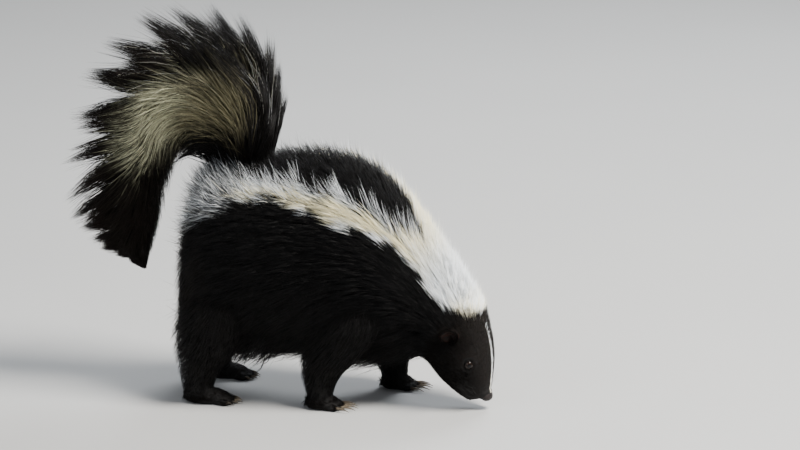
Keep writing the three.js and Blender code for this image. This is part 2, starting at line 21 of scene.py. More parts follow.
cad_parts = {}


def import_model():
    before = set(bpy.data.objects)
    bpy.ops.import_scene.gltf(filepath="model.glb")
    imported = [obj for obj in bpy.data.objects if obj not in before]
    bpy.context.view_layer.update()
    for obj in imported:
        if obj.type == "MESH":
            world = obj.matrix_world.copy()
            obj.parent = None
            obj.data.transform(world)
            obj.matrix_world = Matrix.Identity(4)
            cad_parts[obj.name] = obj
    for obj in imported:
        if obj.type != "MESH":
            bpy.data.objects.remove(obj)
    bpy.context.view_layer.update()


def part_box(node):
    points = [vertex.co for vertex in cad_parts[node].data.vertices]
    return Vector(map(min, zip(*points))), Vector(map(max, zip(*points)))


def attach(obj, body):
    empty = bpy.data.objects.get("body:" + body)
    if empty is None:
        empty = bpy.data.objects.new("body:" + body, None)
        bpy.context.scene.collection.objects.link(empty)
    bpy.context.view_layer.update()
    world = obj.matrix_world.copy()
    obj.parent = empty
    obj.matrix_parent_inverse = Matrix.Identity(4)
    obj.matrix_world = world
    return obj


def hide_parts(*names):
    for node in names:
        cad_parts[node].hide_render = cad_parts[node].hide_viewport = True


log = logging.getLogger("skunk")
Array = np.ndarray
Tone = tuple[float, float, float]
MM = 0.001
BODY = "root"
FULL_TURN = 2 * math.pi
FLOOR_CLEARANCE = 0.35  # millimetres: no hair tip comes closer to the ground than this
PATCH = 0.003  # the size of one tuft's patch on the unwrap


class Side(Enum):
    """The animal's two sides, as the sign of y."""

    RIGHT = -1
    LEFT = 1


class Hair(Enum):
    """Which way hair runs along its loft: towards the first station or towards the last."""

    BACK = -1
    ONWARD = 1


# One row for each station of a loft: a top and a bottom point of the skin [x, z, x, z], the half width,
# how deep the coat lies above, beside and below, and how far the middle lies beside the animal's middle.
TRUNK = np.array([
    (-96, 120, -96, 104, 6, 16, 16, 13, 0),
    (-91, 156, -91, 76, 35, 16, 16, 13, 0),
    (-77, 188, -81, 57, 48, 16, 15, 11, 0),
    (-50, 205, -57, 50, 56, 16, 15, 9, 0),
    (-20, 213, -26, 49, 58, 16, 15, 8, 0),
    (15, 218, 8, 49, 57, 16, 15, 8, 0),
    (48, 215, 38, 49, 54, 16, 14, 8, 0),
    (79, 203, 66, 47, 49, 16, 13, 8, 0),
    (102, 182, 88, 46, 43, 15, 12, 7, 0),
    (123, 156, 103, 47, 36, 15, 11, 7, 0),
    (143, 129, 113, 49, 31, 14, 10, 6, 0),
    (161, 107, 121, 48, 29, 12, 7, 5, 0),
    (176, 88, 128, 43, 29, 7, 4, 4, 0),
    (184, 71, 134, 36, 27, 3, 3, 3, 0),
    (187.5, 55, 140, 28, 24, 2, 2.2, 2.5, 0),
    (188.5, 42, 147, 21, 19, 1.5, 1.8, 2, 0),
    (188, 31, 154, 15, 14.5, 1.2, 1.5, 1.5, 0),
    (187, 22, 161, 10.5, 11.5, 1, 1.2, 1.2, 0),
    (184, 15, 167, 8, 8.5, 0.8, 0.8, 0.8, 0),
    (179, 10.5, 173.5, 8.5, 2.5, 0.5, 0.5, 0.5, 0),
], float)

# The raised tail: the outer and the inner edge of the fan of hair [x, z, x, z], its half width, where the
# flesh lies between the two edges as a share from the inner one, and the flesh's radius.
PLUME = np.array([
    (-6, 205, -76, 190, 26, 0.54, 13),
    (-9, 236, -84, 217, 38, 0.66, 12),
    (-11, 278, -89, 227, 48, 0.65, 11),
    (-24, 322, -95, 229, 54, 0.5, 10),
    (-76, 344, -100, 228, 56, 0.48, 9),
    (-145, 333, -107, 222, 55, 0.42, 8),
    (-192, 284, -115, 209, 52, 0.3, 6.5),
    (-206, 224, -122, 189, 46, 0.26, 5.5),
    (-200, 166, -127, 160, 36, 0.3, 4),
    (-177, 132, -132, 136, 22, 0.4, 3),
    (-144, 112, -138, 113, 3, 0.5, 1),
], float)

# One more row past the tail's end, for the hair that points on from it.
PLUME_BEYOND = (-142, 103, -137, 104, 3, 0.5, 1)

# The legs from the top down, in rows like the trunk's.
LEGS = {
    "foreleg_right": [
        (92, 108, 48, 112, 15, 4, 4, 5, 30), (92, 80, 34, 76, 21, 4, 5, 8, 38),
        (72, 52, 26, 50, 17, 3, 4, 9, 41), (54, 33, 24, 30, 12.5, 2, 3, 6, 42),
        (47, 20, 24, 16, 10.5, 1.5, 2, 3, 42), (45, 11, 25, 8, 9.5, 1, 1, 2, 42),
    ],
    "foreleg_left": [
        (96, 106, 60, 110, 12, 4, 4, 5, 24), (110, 80, 58, 76, 20, 4, 5, 8, 38),
        (104, 52, 62, 50, 16, 3, 4, 9, 40), (99, 33, 71, 30, 12, 2, 3, 6, 40),
        (97, 20, 75, 16, 10.5, 1.5, 2, 3, 40), (97, 11, 77, 8, 9.5, 1, 1, 2, 40),
    ],
    "hindleg_right": [
        (-24, 120, -78, 122, 15, 5, 5, 9, 32), (-26, 88, -86, 86, 25, 5, 8, 11, 41),
        (-40, 58, -87, 56, 21, 5, 8, 12, 44), (-56, 36, -88, 34, 15, 4, 5, 9, 44),
        (-64, 20, -90, 18, 11, 2, 3, 4, 44), (-66, 11, -90, 9, 10, 1, 1.5, 2, 44),
    ],
    "hindleg_left": [
        (-28, 120, -80, 122, 15, 5, 5, 9, 32), (-32, 88, -89, 86, 25, 5, 8, 11, 41),
        (-46, 58, -91, 56, 21, 5, 8, 12, 44), (-62, 36, -93, 34, 15, 4, 5, 9, 44),
        (-70, 20, -95, 18, 11, 2, 3, 4, 44), (-72, 11, -95, 9, 10, 1, 1.5, 2, 44),
    ],
}

# The edges of the white stripes, as angles down from the top of the back at stations of the trunk.
NEAR_INNER = np.array([
    (0.5, 9), (1.8, 12), (2.9, 23), (4, 27), (5, 31), (5.7, 36), (7.8, 38), (8.5, 35), (9.1, 24),
])
NEAR_OUTER = np.array([
    (0.4, 32), (1.1, 39), (2.3, 50), (4, 51), (4.8, 55), (5.6, 62), (6.2, 67), (7.7, 63), (8.8, 60),
    (9.4, 63), (10.3, 67), (11, 64),
])
FAR_INNER = np.array([
    (0.5, 9), (1.8, 12), (2.9, 20), (4.5, 20), (5.5, 14), (6.7, 9), (7.5, 4), (8, -2), (8.5, -11),
    (9.1, -24),
])
FAR_OUTER = np.array([
    (0.4, 34), (1.1, 40), (2.3, 50), (4, 50), (5, 50), (7, 48), (8.8, 50), (9.4, 56), (10.3, 62),
    (11, 62),
])
UPPER_INSET = 10.0  # degrees by which the hair's rise over the back carries the stripes' upper edges up
LOWER_INSET = 3.0  # degrees by which all edges are drawn inwards
CAP_START = 9.1  # the trunk's station where the two stripes meet in the white cap
CAP_END = 12.3  # the station where the cap ends on top of the head
CAP_RISE = 1.6  # how many stations sooner it ends at its two sides
CAP_SIDE = 64.0  # degrees down from the top where those two sides are
CAP_FALL = 45.0  # degrees of depth that a station counts for at the cap's end
FACE_STRIPE = (12.7, 17.7)  # the stations where the thin line on the face starts and ends
FACE_STRIPE_FULL = 14.2  # the station from which it has its full width
FACE_STRIPE_HALF = 0.85  # its half width in millimetres
FACE_STRIPE_FALL = 6.0  # degrees of depth that a millimetre counts for in it
SIDE_FLUFF = 9.0  # millimetres that hair on the flanks may stand out of the coat
LOCK_SPACING = 0.5  # stations between two locks on the outer edge of the tail
TALLNESS = 0.8  # how much a tuft's height counts against its nearness when it leads a lock


def smooth(value: Array, low: float, high: float) -> Array:
    """A smooth step from 0 at low to 1 at high."""
    t = np.clip((np.asarray(value, float) - low) / (high - low), 0, 1)
    return t * t * (3 - 2 * t)


def unit(vectors: Array) -> Array:
    """The vectors, each at length one."""
    return vectors / np.maximum(np.linalg.norm(vectors, axis=-1, keepdims=True), 1e-9)


def spline(rows: Array, station: Array) -> Array:
    """Reads a table of rows at any station, on a smooth curve through all of them.

    Args:
        rows: One row for each whole station.
        station: Where to read it.

    Returns:
        The rows at those stations.
    """
    last = len(rows) - 1
    place = np.clip(np.asarray(station, float), 0, last)
    index = np.minimum(place.astype(int), last - 1)
    w = (place - index)[..., None]
    padded = np.vstack([2 * rows[0] - rows[1], rows, 2 * rows[-1] - rows[-2]])
    before, start, end, after = (padded[index + k] for k in range(4))
    leave, arrive = (end - before) / 2, (after - start) / 2
    cubic = 2 * start - 2 * end + leave + arrive
    square = 3 * end - 3 * start - 2 * leave - arrive
    return ((cubic * w + square) * w + leave) * w + start


def tail_rows(beyond: bool = False) -> Array:
    """The plume's table as rows of a loft, with the fan of hair as the coat over the tail's flesh.

    Args:
        beyond: Add a row past the tail's end, for the hair that points on from it.

    Returns:
        The rows.
    """
    table = np.vstack([PLUME, PLUME_BEYOND]) if beyond else PLUME
    outer, inner, half, share, radius = table[:, 0:2], table[:, 2:4], table[:, 4], table[:, 5], table[:, 6]
    centre = inner + (outer - inner) * share[:, None]
    across = unit(outer - inner) * radius[:, None]
    above = np.linalg.norm(outer - centre, axis=1) - radius
    below = np.linalg.norm(inner - centre, axis=1) - radius
    rows = [centre + across, centre - across, radius, above, half - radius, below, 0 * radius]
    return np.column_stack(rows)


def coat_depth(row: Array, up: Array) -> Array:
    """How deep the coat lies at a place of a section.

    Args:
        row: The section's row.
        up: How far the place faces up, from -1 to 1.

    Returns:
        The depth in millimetres.
    """
    above, beside, below = row[..., 5], row[..., 6], row[..., 7]
    return beside + np.where(up > 0, above - beside, below - beside) * up * up


@dataclass(frozen=True)
class Loft:
    """A body through sections, and the coat over it. Station and angle give a place on it.

    The angle counts round from the top. A share of 0 is on the skin and a share of 1 at the tips of the
    coat. Rear is how far the outer coat stands out behind the first stations, in millimetres.
    """

    rows: Array
    side: Side = Side.LEFT
    turned: bool = False
    head_turn: float = math.radians(-13)
    pivot: float = 118.0
    rear: float = 0.0

    @property
    def last(self) -> int:
        """The last station."""
        return len(self.rows) - 1

    def point(self, station: Array, angle: Array, share: Array | float = 0.0) -> Array:
        """Places on the body or in its coat.

        Args:
            station: How far along the body, in sections.
            angle: Radians round from the top.
            share: How far out through the coat.

        Returns:
            The points, in millimetres.
        """
        row = spline(self.rows, station)
        up = np.cos(angle)
        out = share * coat_depth(row, up)
        rise = (row[..., 0:2] - row[..., 2:4]) / 2
        high = np.linalg.norm(rise, axis=-1)
        xz = (row[..., 0:2] + row[..., 2:4]) / 2 + rise * ((high + out) * up / high)[..., None]
        xz[..., 0] -= self.rear * np.maximum(share - 0.6, 0) * (1 - smooth(station, 0.3, 2.6))
        y = self.side.value * (row[..., 8] + (np.maximum(row[..., 4], 0.2) + out) * np.sin(angle))
        return self.turn(np.stack([xz[..., 0], y, xz[..., 1]], axis=-1), station)

    def turn(self, points: Array, station: Array) -> Array:
        """Turns the neck and head to the side, more and more from the shoulders to the back of the skull.

        Args:
            points: Points in millimetres.
            station: The station of each.

        Returns:
            The turned points.
        """
        if not self.turned:
            return points
        angle = self.head_turn * smooth(station, 8.5, 12.5)
        x, y = points[..., 0] - self.pivot, points[..., 1]
        turned = points.copy()
        turned[..., 0] = self.pivot + x * np.cos(angle) - y * np.sin(angle)
        turned[..., 1] = x * np.sin(angle) + y * np.cos(angle)
        return turned

    def steps(self, station: Array, angle: Array, share: float = 0.3) -> tuple[Array, Array]:
        """Vectors of travel at some places.

        Args:
            station: How far along the body, in sections.
            angle: Radians round from the top.
            share: How far out through the coat.

        Returns:
            The vectors for one station along and for one radian round.
        """
        e = 0.02
        inner = np.clip(station, e, self.last - e)
        along = (self.point(inner + e, angle, share) - self.point(inner - e, angle, share)) / (2 * e)
        around = (self.point(station, angle + e, share) - self.point(station, angle - e, share)) / (2 * e)
        return along, around

    def normal(self, station: Array, angle: Array, share: float = 0.3) -> Array:
        """The outward direction at some places.

        Args:
            station: How far along the body, in sections.
            angle: Radians round from the top.
            share: How far out through the coat.

        Returns:
            The directions, each at length one.
        """
        along, around = self.steps(station, angle, share)
        n = unit(np.cross(along, around))
        middle = (self.point(station, 0 * angle) + self.point(station, 0 * angle + math.pi)) / 2
        outward = ((self.point(station, angle, share) - middle) * n).sum(-1)
        return n * np.where(outward < 0, -1, 1)[..., None]

    def scatter(self, count: int, first: float, final: float,
                rng: np.random.Generator) -> tuple[Array, Array]:
        """Places spread evenly over the skin between two stations.

        Args:
            count: How many places.
            first: The lowest station.
            final: The highest station.
            rng: Source of the draws.

        Returns:
            Their stations and angles.
        """
        grid = rng.uniform([first, -math.pi], [final, math.pi], (count * 6, 2))
        along, around = self.steps(grid[:, 0], grid[:, 1], 0.0)
        area = np.linalg.norm(np.cross(along, around), axis=1)
        chosen = rng.choice(len(grid), count, replace=False, p=area / area.sum())
        return grid[chosen, 0], grid[chosen, 1]


trunk = Loft(TRUNK, turned=True, rear=9)
tail = Loft(tail_rows())
plume = Loft(tail_rows(beyond=True))
legs = {
    name: Loft(np.array(rows, float), Side.RIGHT if name.endswith("right") else Side.LEFT)
    for name, rows in LEGS.items()
}


def wrapped(angle: Array) -> Array:
    """Angles brought to between half a turn back and half a turn on."""
    return (angle + math.pi) % FULL_TURN - math.pi


def edge(table: Array, station: Array) -> Array:
    """Reads a marking's edge, in degrees, at stations of the trunk."""
    return np.interp(station, table[:, 0], table[:, 1])


def white_depth(station: Array, angle: Array) -> Array:
    """How far inside the white markings of the trunk a place lies.

    Args:
        station: Station of the trunk.
        angle: Radians round from the top, negative on the right.

    Returns:
        Degrees inside the nearest edge, below zero where the coat is black.
    """
    degrees = np.degrees(wrapped(angle))
    wobble = 2.0 * np.sin(station * 5.1 + 1) + 1.5 * np.sin(station * 11.3 + degrees * 0.13) - LOWER_INSET
    inset = UPPER_INSET * (1 - smooth(station, 8.2, CAP_START)) - LOWER_INSET
    near_outer = edge(NEAR_OUTER, station) + degrees
    far_outer = edge(FAR_OUTER, station) - degrees
    near = np.minimum(-degrees - edge(NEAR_INNER, station) - inset, near_outer) + wobble
    far = np.minimum(degrees - edge(FAR_INNER, station) - inset / 2, far_outer) + wobble
    both = np.minimum(near_outer, far_outer) + wobble
    cap_end = CAP_END - CAP_RISE * (degrees / CAP_SIDE) ** 2
    cap = np.minimum(both, CAP_FALL * (cap_end - station))
    body = np.where(station > CAP_START, cap, np.maximum(near, far))
    across = np.abs(np.radians(degrees)) * np.maximum(spline(TRUNK, station)[..., 4], 1)
    start, end = FACE_STRIPE
    half = FACE_STRIPE_HALF * (0.35 + 0.65 * smooth(station, start, FACE_STRIPE_FULL))
    face = np.where((station > start) & (station < end), (half - across) * FACE_STRIPE_FALL, -90)
    return np.maximum(body, face)


def nearest(places: Array, points: Array) -> Array:
    """Finds for each point the place that lies nearest to it.

    Args:
        places: The places to choose from.
        points: The points.

    Returns:
        The number of a place for each point.
    """
    tree = KDTree(len(places))
    for i, place in enumerate(places):
        tree.insert(place, i)
    tree.balance()
    return np.array([tree.find(point)[1] for point in points])


def locate(points: Array) -> tuple[Array, Array]:
    """Finds the places of the trunk's skin that lie nearest to some points.

    Args:
        points: The points in millimetres.

    Returns:
        The stations and angles of those places.
    """
    grid = np.arange(0, trunk.last + 0.01, 0.1), np.radians(np.arange(-180, 180, 3))
    stations, angles = np.meshgrid(*grid, indexing="ij")
    chosen = nearest(trunk.point(stations, angles).reshape(-1, 3), points)
    return stations.ravel()[chosen], angles.ravel()[chosen]


@dataclass(frozen=True)
class Anchor:
    """A place on the head with its three directions, all in millimetres."""

    at: Array
    out: Array
    forward: Array
    across: Array


def axes_matrix(centre: Array, directions: tuple[Array, Array, Array]) -> Matrix:
    """A transform that sends x, y and z along three directions from a centre.

    Args:
        centre: Where the origin goes.
        directions: Where the three axes point then.

    Returns:
        The transform.
    """
    table = np.eye(4)
    table[:3, :3] = np.stack(directions, axis=1)
    table[:3, 3] = centre
    return Matrix(table.tolist())


def head_anchor(station: float, degrees: float, side: Side) -> Anchor:
    """Finds a place on the head.

    Args:
        station: Station of the trunk.
        degrees: Angle down from the top.
        side: Which side of the head.

    Returns:
        The place, half way into the short fur.
    """
    theta = side.value * math.radians(degrees)
    place = np.array([station]), np.array([theta])
    at = trunk.point(*place, 0.5)[0]
    out = trunk.normal(*place, 0.0)[0]
    ahead = trunk.point(place[0] + 0.3, place[1])[0] - trunk.point(place[0] - 0.3, place[1])[0]
    across = unit(np.cross(out, unit(ahead)))
    return Anchor(at, out, np.cross(across, out), across)


def linked(name: str, mesh: bpy.types.Mesh) -> bpy.types.Object:
    """Puts a mesh into the scene.

    Args:
        name: The object's name.
        mesh: Its mesh.

    Returns:
        The object.
    """
    piece = bpy.data.objects.new(name, mesh)
    bpy.context.scene.collection.objects.link(piece)
    return piece


def as_object(bm: bmesh.types.BMesh, name: str, round_off: bool = True) -> bpy.types.Object:
    """Turns a bmesh into an object and frees it.

    Args:
        bm: The shape.
        name: The object's name.
        round_off: Shade it smooth.

    Returns:
        The linked object.
    """
    mesh = bpy.data.meshes.new(name)
    bm.to_mesh(mesh)
    bm.free()
    if round_off:
        mesh.shade_smooth()
    return linked(name, mesh)


def positions(mesh: bpy.types.Mesh) -> Array:
    """Reads the vertices of a mesh.

    Args:
        mesh: The mesh.

    Returns:
        Its vertices as rows.
    """
    co = np.empty(len(mesh.vertices) * 3)
    mesh.vertices.foreach_get("co", co)
    return co.reshape(-1, 3)


def corners(bm: bmesh.types.BMesh) -> Array:
    """The vertices of a bmesh as rows."""
    return np.array([vertex.co[:] for vertex in bm.verts])


def move_to(bm: bmesh.types.BMesh, places: Array) -> None:
    """Moves each vertex of a bmesh to its new place."""
    for vertex, place in zip(bm.verts, places):
        vertex.co = place


def give_mark(mesh: bpy.types.Mesh, name: str, values: Array) -> None:
    """Gives each vertex of a mesh a number that its material reads."""
    mesh.attributes.new(name, "FLOAT", "POINT").data.foreach_set("value", values.astype(np.float32))


def ellipsoid(centre: Array, radii: tuple[float, float, float], around: int = 24) -> bmesh.types.BMesh:
    """Makes an ellipsoid along the three axes.

    Args:
        centre: Its middle.
        radii: Half its length along each axis.
        around: Faces round it.

    Returns:
        The closed shape.
    """
    bm = bmesh.new()
    bmesh.ops.create_uvsphere(bm, u_segments=around, v_segments=around * 2 // 3, radius=1)
    bmesh.ops.scale(bm, vec=Vector(radii), verts=bm.verts)
    bmesh.ops.translate(bm, vec=Vector(centre), verts=bm.verts)
    return bm


def joined(parts: list[bpy.types.Object], name: str) -> bpy.types.Object:
    """Joins objects into one.

    Args:
        parts: The objects, which are used up.
        name: The new object's name.

    Returns:
        The joined object.
    """
    bm = bmesh.new()
    for part in parts:
        bm.from_mesh(part.data)
        bpy.data.objects.remove(part)
    return as_object(bm, name)


def remeshed(shells: list[bpy.types.Object], name: str, voxel: float, rounds: int) -> bpy.types.Object:
    """Joins closed shells into one smooth surface.

    Args:
        shells: The closed shells, which are used up.
        name: The new object's name.
        voxel: The grid's size in millimetres.
        rounds: How often the surface is smoothed.

    Returns:
        The joined object.
    """
    whole = joined(shells, name)
    grid = whole.modifiers.new("grid", "REMESH")
    grid.mode = "VOXEL"
    grid.voxel_size = voxel
    soften = whole.modifiers.new("soften", "SMOOTH")
    soften.iterations = rounds
    soften.factor = 0.5
    view = bpy.context.evaluated_depsgraph_get()
    mesh = bpy.data.meshes.new_from_object(whole.evaluated_get(view))
    bpy.data.objects.remove(whole)
    mesh.shade_smooth()
    return linked(name, mesh)


def loft_shell(loft: Loft, first: float, final: float, around: int, along: int) -> bmesh.types.BMesh:
    """A closed tube on a loft's skin.

    Args:
        loft: The body.
        first: The station where it starts.
        final: The station where it ends.
        around: Faces round it.
        along: Faces along it.

    Returns:
        The closed tube in millimetres.
    """
    bm = bmesh.new()
    bmesh.ops.create_cone(bm, cap_ends=True, segments=around, radius1=1, radius2=1, depth=2)
    walls = [e for e in bm.edges if abs(e.verts[0].co.z - e.verts[1].co.z) > 1]
    bmesh.ops.subdivide_edges(bm, edges=walls, cuts=along - 1, use_grid_fill=True)
    co = corners(bm)
    station = first + (final - first) * (co[:, 2] + 1) / 2
    move_to(bm, loft.point(station, np.arctan2(co[:, 0], co[:, 1])))
    caps = [f for f in bm.faces if len(f.verts) > 4]
    bmesh.ops.poke(bm, faces=caps)
    bmesh.ops.recalc_face_normals(bm, faces=bm.faces)
    return bm


class Nodes:
    """Shorthand for wiring a node tree."""

    def __init__(self, tree: bpy.types.NodeTree) -> None:
        """Keeps the tree."""
        self.tree = tree

    def fill(self, node: bpy.types.Node, inputs: dict[str | int, object]) -> None:
        """Links or sets the inputs of a node.

        Args:
            node: The node.
            inputs: A socket, a number or a colour of three numbers by the input's name or number.
        """
        for key, value in inputs.items():
            if isinstance(value, bpy.types.NodeSocket):
                self.tree.links.new(value, node.inputs[key])
            else:
                node.inputs[key].default_value = (*value, 1) if isinstance(value, tuple) else value

    def add(self, kind: str, inputs: dict[str | int, object] | None = None,
            **settings: object) -> bpy.types.Node:
        """Makes a node.

        Args:
            kind: The node's type.
            inputs: What its inputs are linked to or set to.
            **settings: Its attributes.

        Returns:
            The node.
        """
        node = self.tree.nodes.new(kind if kind.startswith("NodeGroup") else "ShaderNode" + kind)
        for key, value in settings.items():
            setattr(node, key, value)
        self.fill(node, inputs or {})
        return node

    def attribute(self, name: str) -> bpy.types.NodeSocket:
        """A number that the mesh carries."""
        return self.add("Attribute", attribute_name=name).outputs["Fac"]

    def place(self) -> bpy.types.NodeSocket:
        """Where the surface lies in the piece."""
        return self.add("TexCoord").outputs["Object"]

    def noise(self, scale: float, **inputs: float) -> bpy.types.NodeSocket:
        """Cloudy noise that is fixed to the piece."""
        return self.add("TexNoise", {"Vector": self.place(), "Scale": scale, **inputs}).outputs[0]

    def product(self, a: object, b: object) -> bpy.types.NodeSocket:
        """One value times another."""
        return self.add("Math", {0: a, 1: b}, operation="MULTIPLY").outputs[0]

    def step(self, value: object, low: float, high: float, to_low: float = 0,
             to_high: float = 1) -> bpy.types.NodeSocket:
        """A value moved smoothly from the range low to high into the range to_low to to_high."""
        inputs = {"Value": value, "From Min": low, "From Max": high, "To Min": to_low, "To Max": to_high}
        return self.add("MapRange", inputs, interpolation_type="SMOOTHSTEP").outputs["Result"]

    def blend(self, share: object, a: object, b: object) -> bpy.types.NodeSocket:
        """A colour between two colours."""
        return self.add("Mix", {0: share, 6: a, 7: b}, data_type="RGBA").outputs[2]

    def tinted(self, colour: object, value: object) -> bpy.types.NodeSocket:
        """A colour made lighter or darker."""
        return self.add("HueSaturation", {"Color": colour, "Value": value}).outputs[0]


HAIR_TONES = ("Dark", "Brown", "Pale", "Cream")
HAIR_MARKS = ("White", "Warm", "Along", "Shade")


def hair_group() -> bpy.types.NodeTree:
    """The shader group for one hair: dark or pale, each cool or warm, darker at its root."""
    found = bpy.data.node_groups.get("hair_tint")
    if found:
        return found
    group = bpy.data.node_groups.new("hair_tint", "ShaderNodeTree")
    sockets = [(name, "INPUT", "NodeSocketColor") for name in HAIR_TONES]
    sockets += [(name, "INPUT", "NodeSocketFloat") for name in HAIR_MARKS]
    sockets += [("Color", "OUTPUT", "NodeSocketColor"), ("Roughness", "OUTPUT", "NodeSocketFloat")]
    for name, way, kind in sockets:
        group.interface.new_socket(name, in_out=way, socket_type=kind)
    make = Nodes(group)
    given = make.add("NodeGroupInput").outputs
    dark = make.blend(given["Warm"], given["Dark"], given["Brown"])
    pale = make.blend(given["Warm"], given["Pale"], given["Cream"])
    bright = make.step(given["Shade"], 0, 1, 0.84, 1.1)
    root = make.step(given["Along"], 0, 0.5, 0.82, 1)
    shaded = make.tinted(make.blend(given["White"], dark, pale), make.product(bright, root))
    make.add("NodeGroupOutput", {"Color": shaded, "Roughness": make.step(given["White"], 0, 1, 0.5, 0.7)})
    return group


@dataclass(frozen=True)
class Finish:
    """A material that is built when a piece first asks for it."""

    name: str

    def material(self) -> bpy.types.Material:
        """The material, built once."""
        found = bpy.data.materials.get(self.name)
        if found:
            return found
        made = bpy.data.materials.new(self.name)
        made.use_nodes = True
        self.wire(Nodes(made.node_tree), made.node_tree.nodes["Principled BSDF"])
        return made

    def wire(self, make: Nodes, surface: bpy.types.Node) -> None:
        """Wires what the surface shows.

        Args:
            make: The material's nodes.
            surface: Its surface shader.
        """
        raise NotImplementedError(self.name)


@dataclass(frozen=True)
class HairFinish(Finish):
    """Hair that is dark or pale by the marks that each tuft carries."""

    name: str = "coat_hair"
    dark: Tone = (0.0036, 0.0033, 0.0035)
    brown: Tone = (0.0085, 0.006, 0.0045)
    # The white's cool blue tint is painted skylight in shade; it shows where the warm mark is low, as on the
    # rump.
    pale: Tone = (0.84, 0.87, 0.9)
    cream: Tone = (0.95, 0.85, 0.52)
    gloss: float = 0.16

    def wire(self, make: Nodes, surface: bpy.types.Node) -> None:
        """Wires the tint of the hair.

        Args:
            make: The material's nodes.
            surface: Its surface shader.
        """
        inputs = dict(zip(HAIR_TONES, (self.dark, self.brown, self.pale, self.cream)))
        inputs.update((mark, make.attribute(mark.lower())) for mark in HAIR_MARKS)
        tint = make.add("Group", inputs, node_tree=hair_group()).outputs
        make.fill(surface, {"Base Color": tint["Color"], "Roughness": tint["Roughness"],
                            "Specular IOR Level": self.gloss})


@dataclass(frozen=True)
class HideFinish(Finish):
    """The skin under the coat: the same marks as the coat, with fine short fur in its bump."""

    name: str = "hide"
    dark: Tone = (0.006, 0.0052, 0.005)
    pale: Tone = (0.7, 0.66, 0.56)
    grain: float = 900.0

    def wire(self, make: Nodes, surface: bpy.types.Node) -> None:
        """Wires the marked skin with its fine fur.

        Args:
            make: The material's nodes.
            surface: Its surface shader.
        """
        fur = make.noise(self.grain, Detail=4.0, Roughness=0.7)
        base = make.blend(make.attribute("white"), self.dark, self.pale)
        bump = make.add("Bump", {"Strength": 0.5, "Distance": 0.0006, "Height": fur}).outputs[0]
        make.fill(surface, {"Base Color": make.tinted(base, make.step(fur, 0.3, 0.7, 0.75, 1.25)),
                            "Normal": bump, "Roughness": 0.75, "Specular IOR Level": 0.25})


@dataclass(frozen=True)
class LeatherFinish(Finish):
    """Bare skin, such as the nose, the lids and the inside of the ears, or horn."""

    tone: Tone
    deep: Tone
    grain: float = 1400.0
    roughness: float = 0.45
    relief: float = 0.0004
    gloss: float = 0.3

    def wire(self, make: Nodes, surface: bpy.types.Node) -> None:
        """Wires the pebbled leather.

        Args:
            make: The material's nodes.
            surface: Its surface shader.
        """
        cells = make.add("TexVoronoi", {"Vector": make.place(), "Scale": self.grain}).outputs["Distance"]
        cloud = make.noise(self.grain / 6, Detail=4.0)
        mixed = make.blend(make.step(cloud, 0.35, 0.65), self.deep, self.tone)
        bump = make.add("Bump", {"Strength": 0.6, "Distance": self.relief, "Height": cells}, invert=True)
        rough = make.step(cloud, 0.3, 0.7, self.roughness - 0.08, self.roughness + 0.12)
        make.fill(surface, {"Base Color": make.tinted(mixed, make.step(cells, 0.1, 0.6, 1.1, 0.7)),
                            "Roughness": rough, "Normal": bump.outputs[0], "Specular IOR Level": self.gloss})


@dataclass(frozen=True)
class EyeFinish(Finish):
    """A dark wet eye: a brown iris round a black pupil, read from where it lies on the ball."""

    name: str = "wet_eye"
    iris: Tone = (0.02, 0.009, 0.004)
    rim: Tone = (0.004, 0.003, 0.003)
    pupil: Tone = (0.0015, 0.0015, 0.002)
    white: Tone = (0.006, 0.005, 0.005)

    def wire(self, make: Nodes, surface: bpy.types.Node) -> None:
        """Wires the iris and the pupil.

        Args:
            make: The material's nodes.
            surface: Its surface shader.
        """
        front = make.attribute("front")
        iris = make.blend(make.noise(2500.0, Detail=3.0), self.rim, self.iris)
        ring = make.blend(make.step(front, 0.86, 0.9), iris, self.pupil)
        tone = make.blend(make.step(front, 0.52, 0.62), self.white, ring)
        make.fill(surface, {"Base Color": tone, "Roughness": 0.03, "Specular IOR Level": 0.2})


@dataclass(frozen=True)
class FloorFinish(Finish):
    """A plain pale floor."""

    name: str = "pale_floor"
    tone: Tone = (0.43, 0.427, 0.42)
    light: Tone = (0.46, 0.457, 0.45)

    def wire(self, make: Nodes, surface: bpy.types.Node) -> None:
        """Wires the faint clouds of the floor.

        Args:
            make: The material's nodes.
            surface: Its surface shader.
        """
        tone = make.blend(make.noise(3.0), self.tone, self.light)
        make.fill(surface, {"Base Color": tone, "Roughness": 0.8})


COAT_HAIR = HairFinish()
FACE_HAIR = HairFinish("face_hair", dark=(0.0028, 0.0023, 0.0021), brown=(0.009, 0.0056, 0.004), gloss=0.09)
# On the plume the pale hair's dark tan near the tail's root is painted shade, and the bright cream further
# along is the lit hair.
PLUME_HAIR = HairFinish("plume_hair", dark=(0.004, 0.0034, 0.0034), brown=(0.009, 0.0062, 0.0045),
                        pale=(0.19, 0.17, 0.1), cream=(0.84, 0.82, 0.56), gloss=0.11)
LID_SKIN = LeatherFinish("lid_skin", (0.006, 0.0045, 0.004), (0.003, 0.0025, 0.0025),
                         grain=5000, roughness=0.6, relief=0.0001, gloss=0.12)
EAR_SKIN = LeatherFinish("ear_leather", (0.03, 0.011, 0.008), (0.008, 0.005, 0.0045),
                         grain=1500, roughness=0.7, relief=0.0002, gloss=0.15)
NOSE_SKIN = LeatherFinish("nose_leather", (0.022, 0.014, 0.013), (0.008, 0.006, 0.006),
                          grain=2200, roughness=0.4, relief=0.0003)
HORN = LeatherFinish("claw_horn", (0.2, 0.16, 0.11), (0.05, 0.038, 0.028),
                     grain=500, roughness=0.35, relief=0.0001)


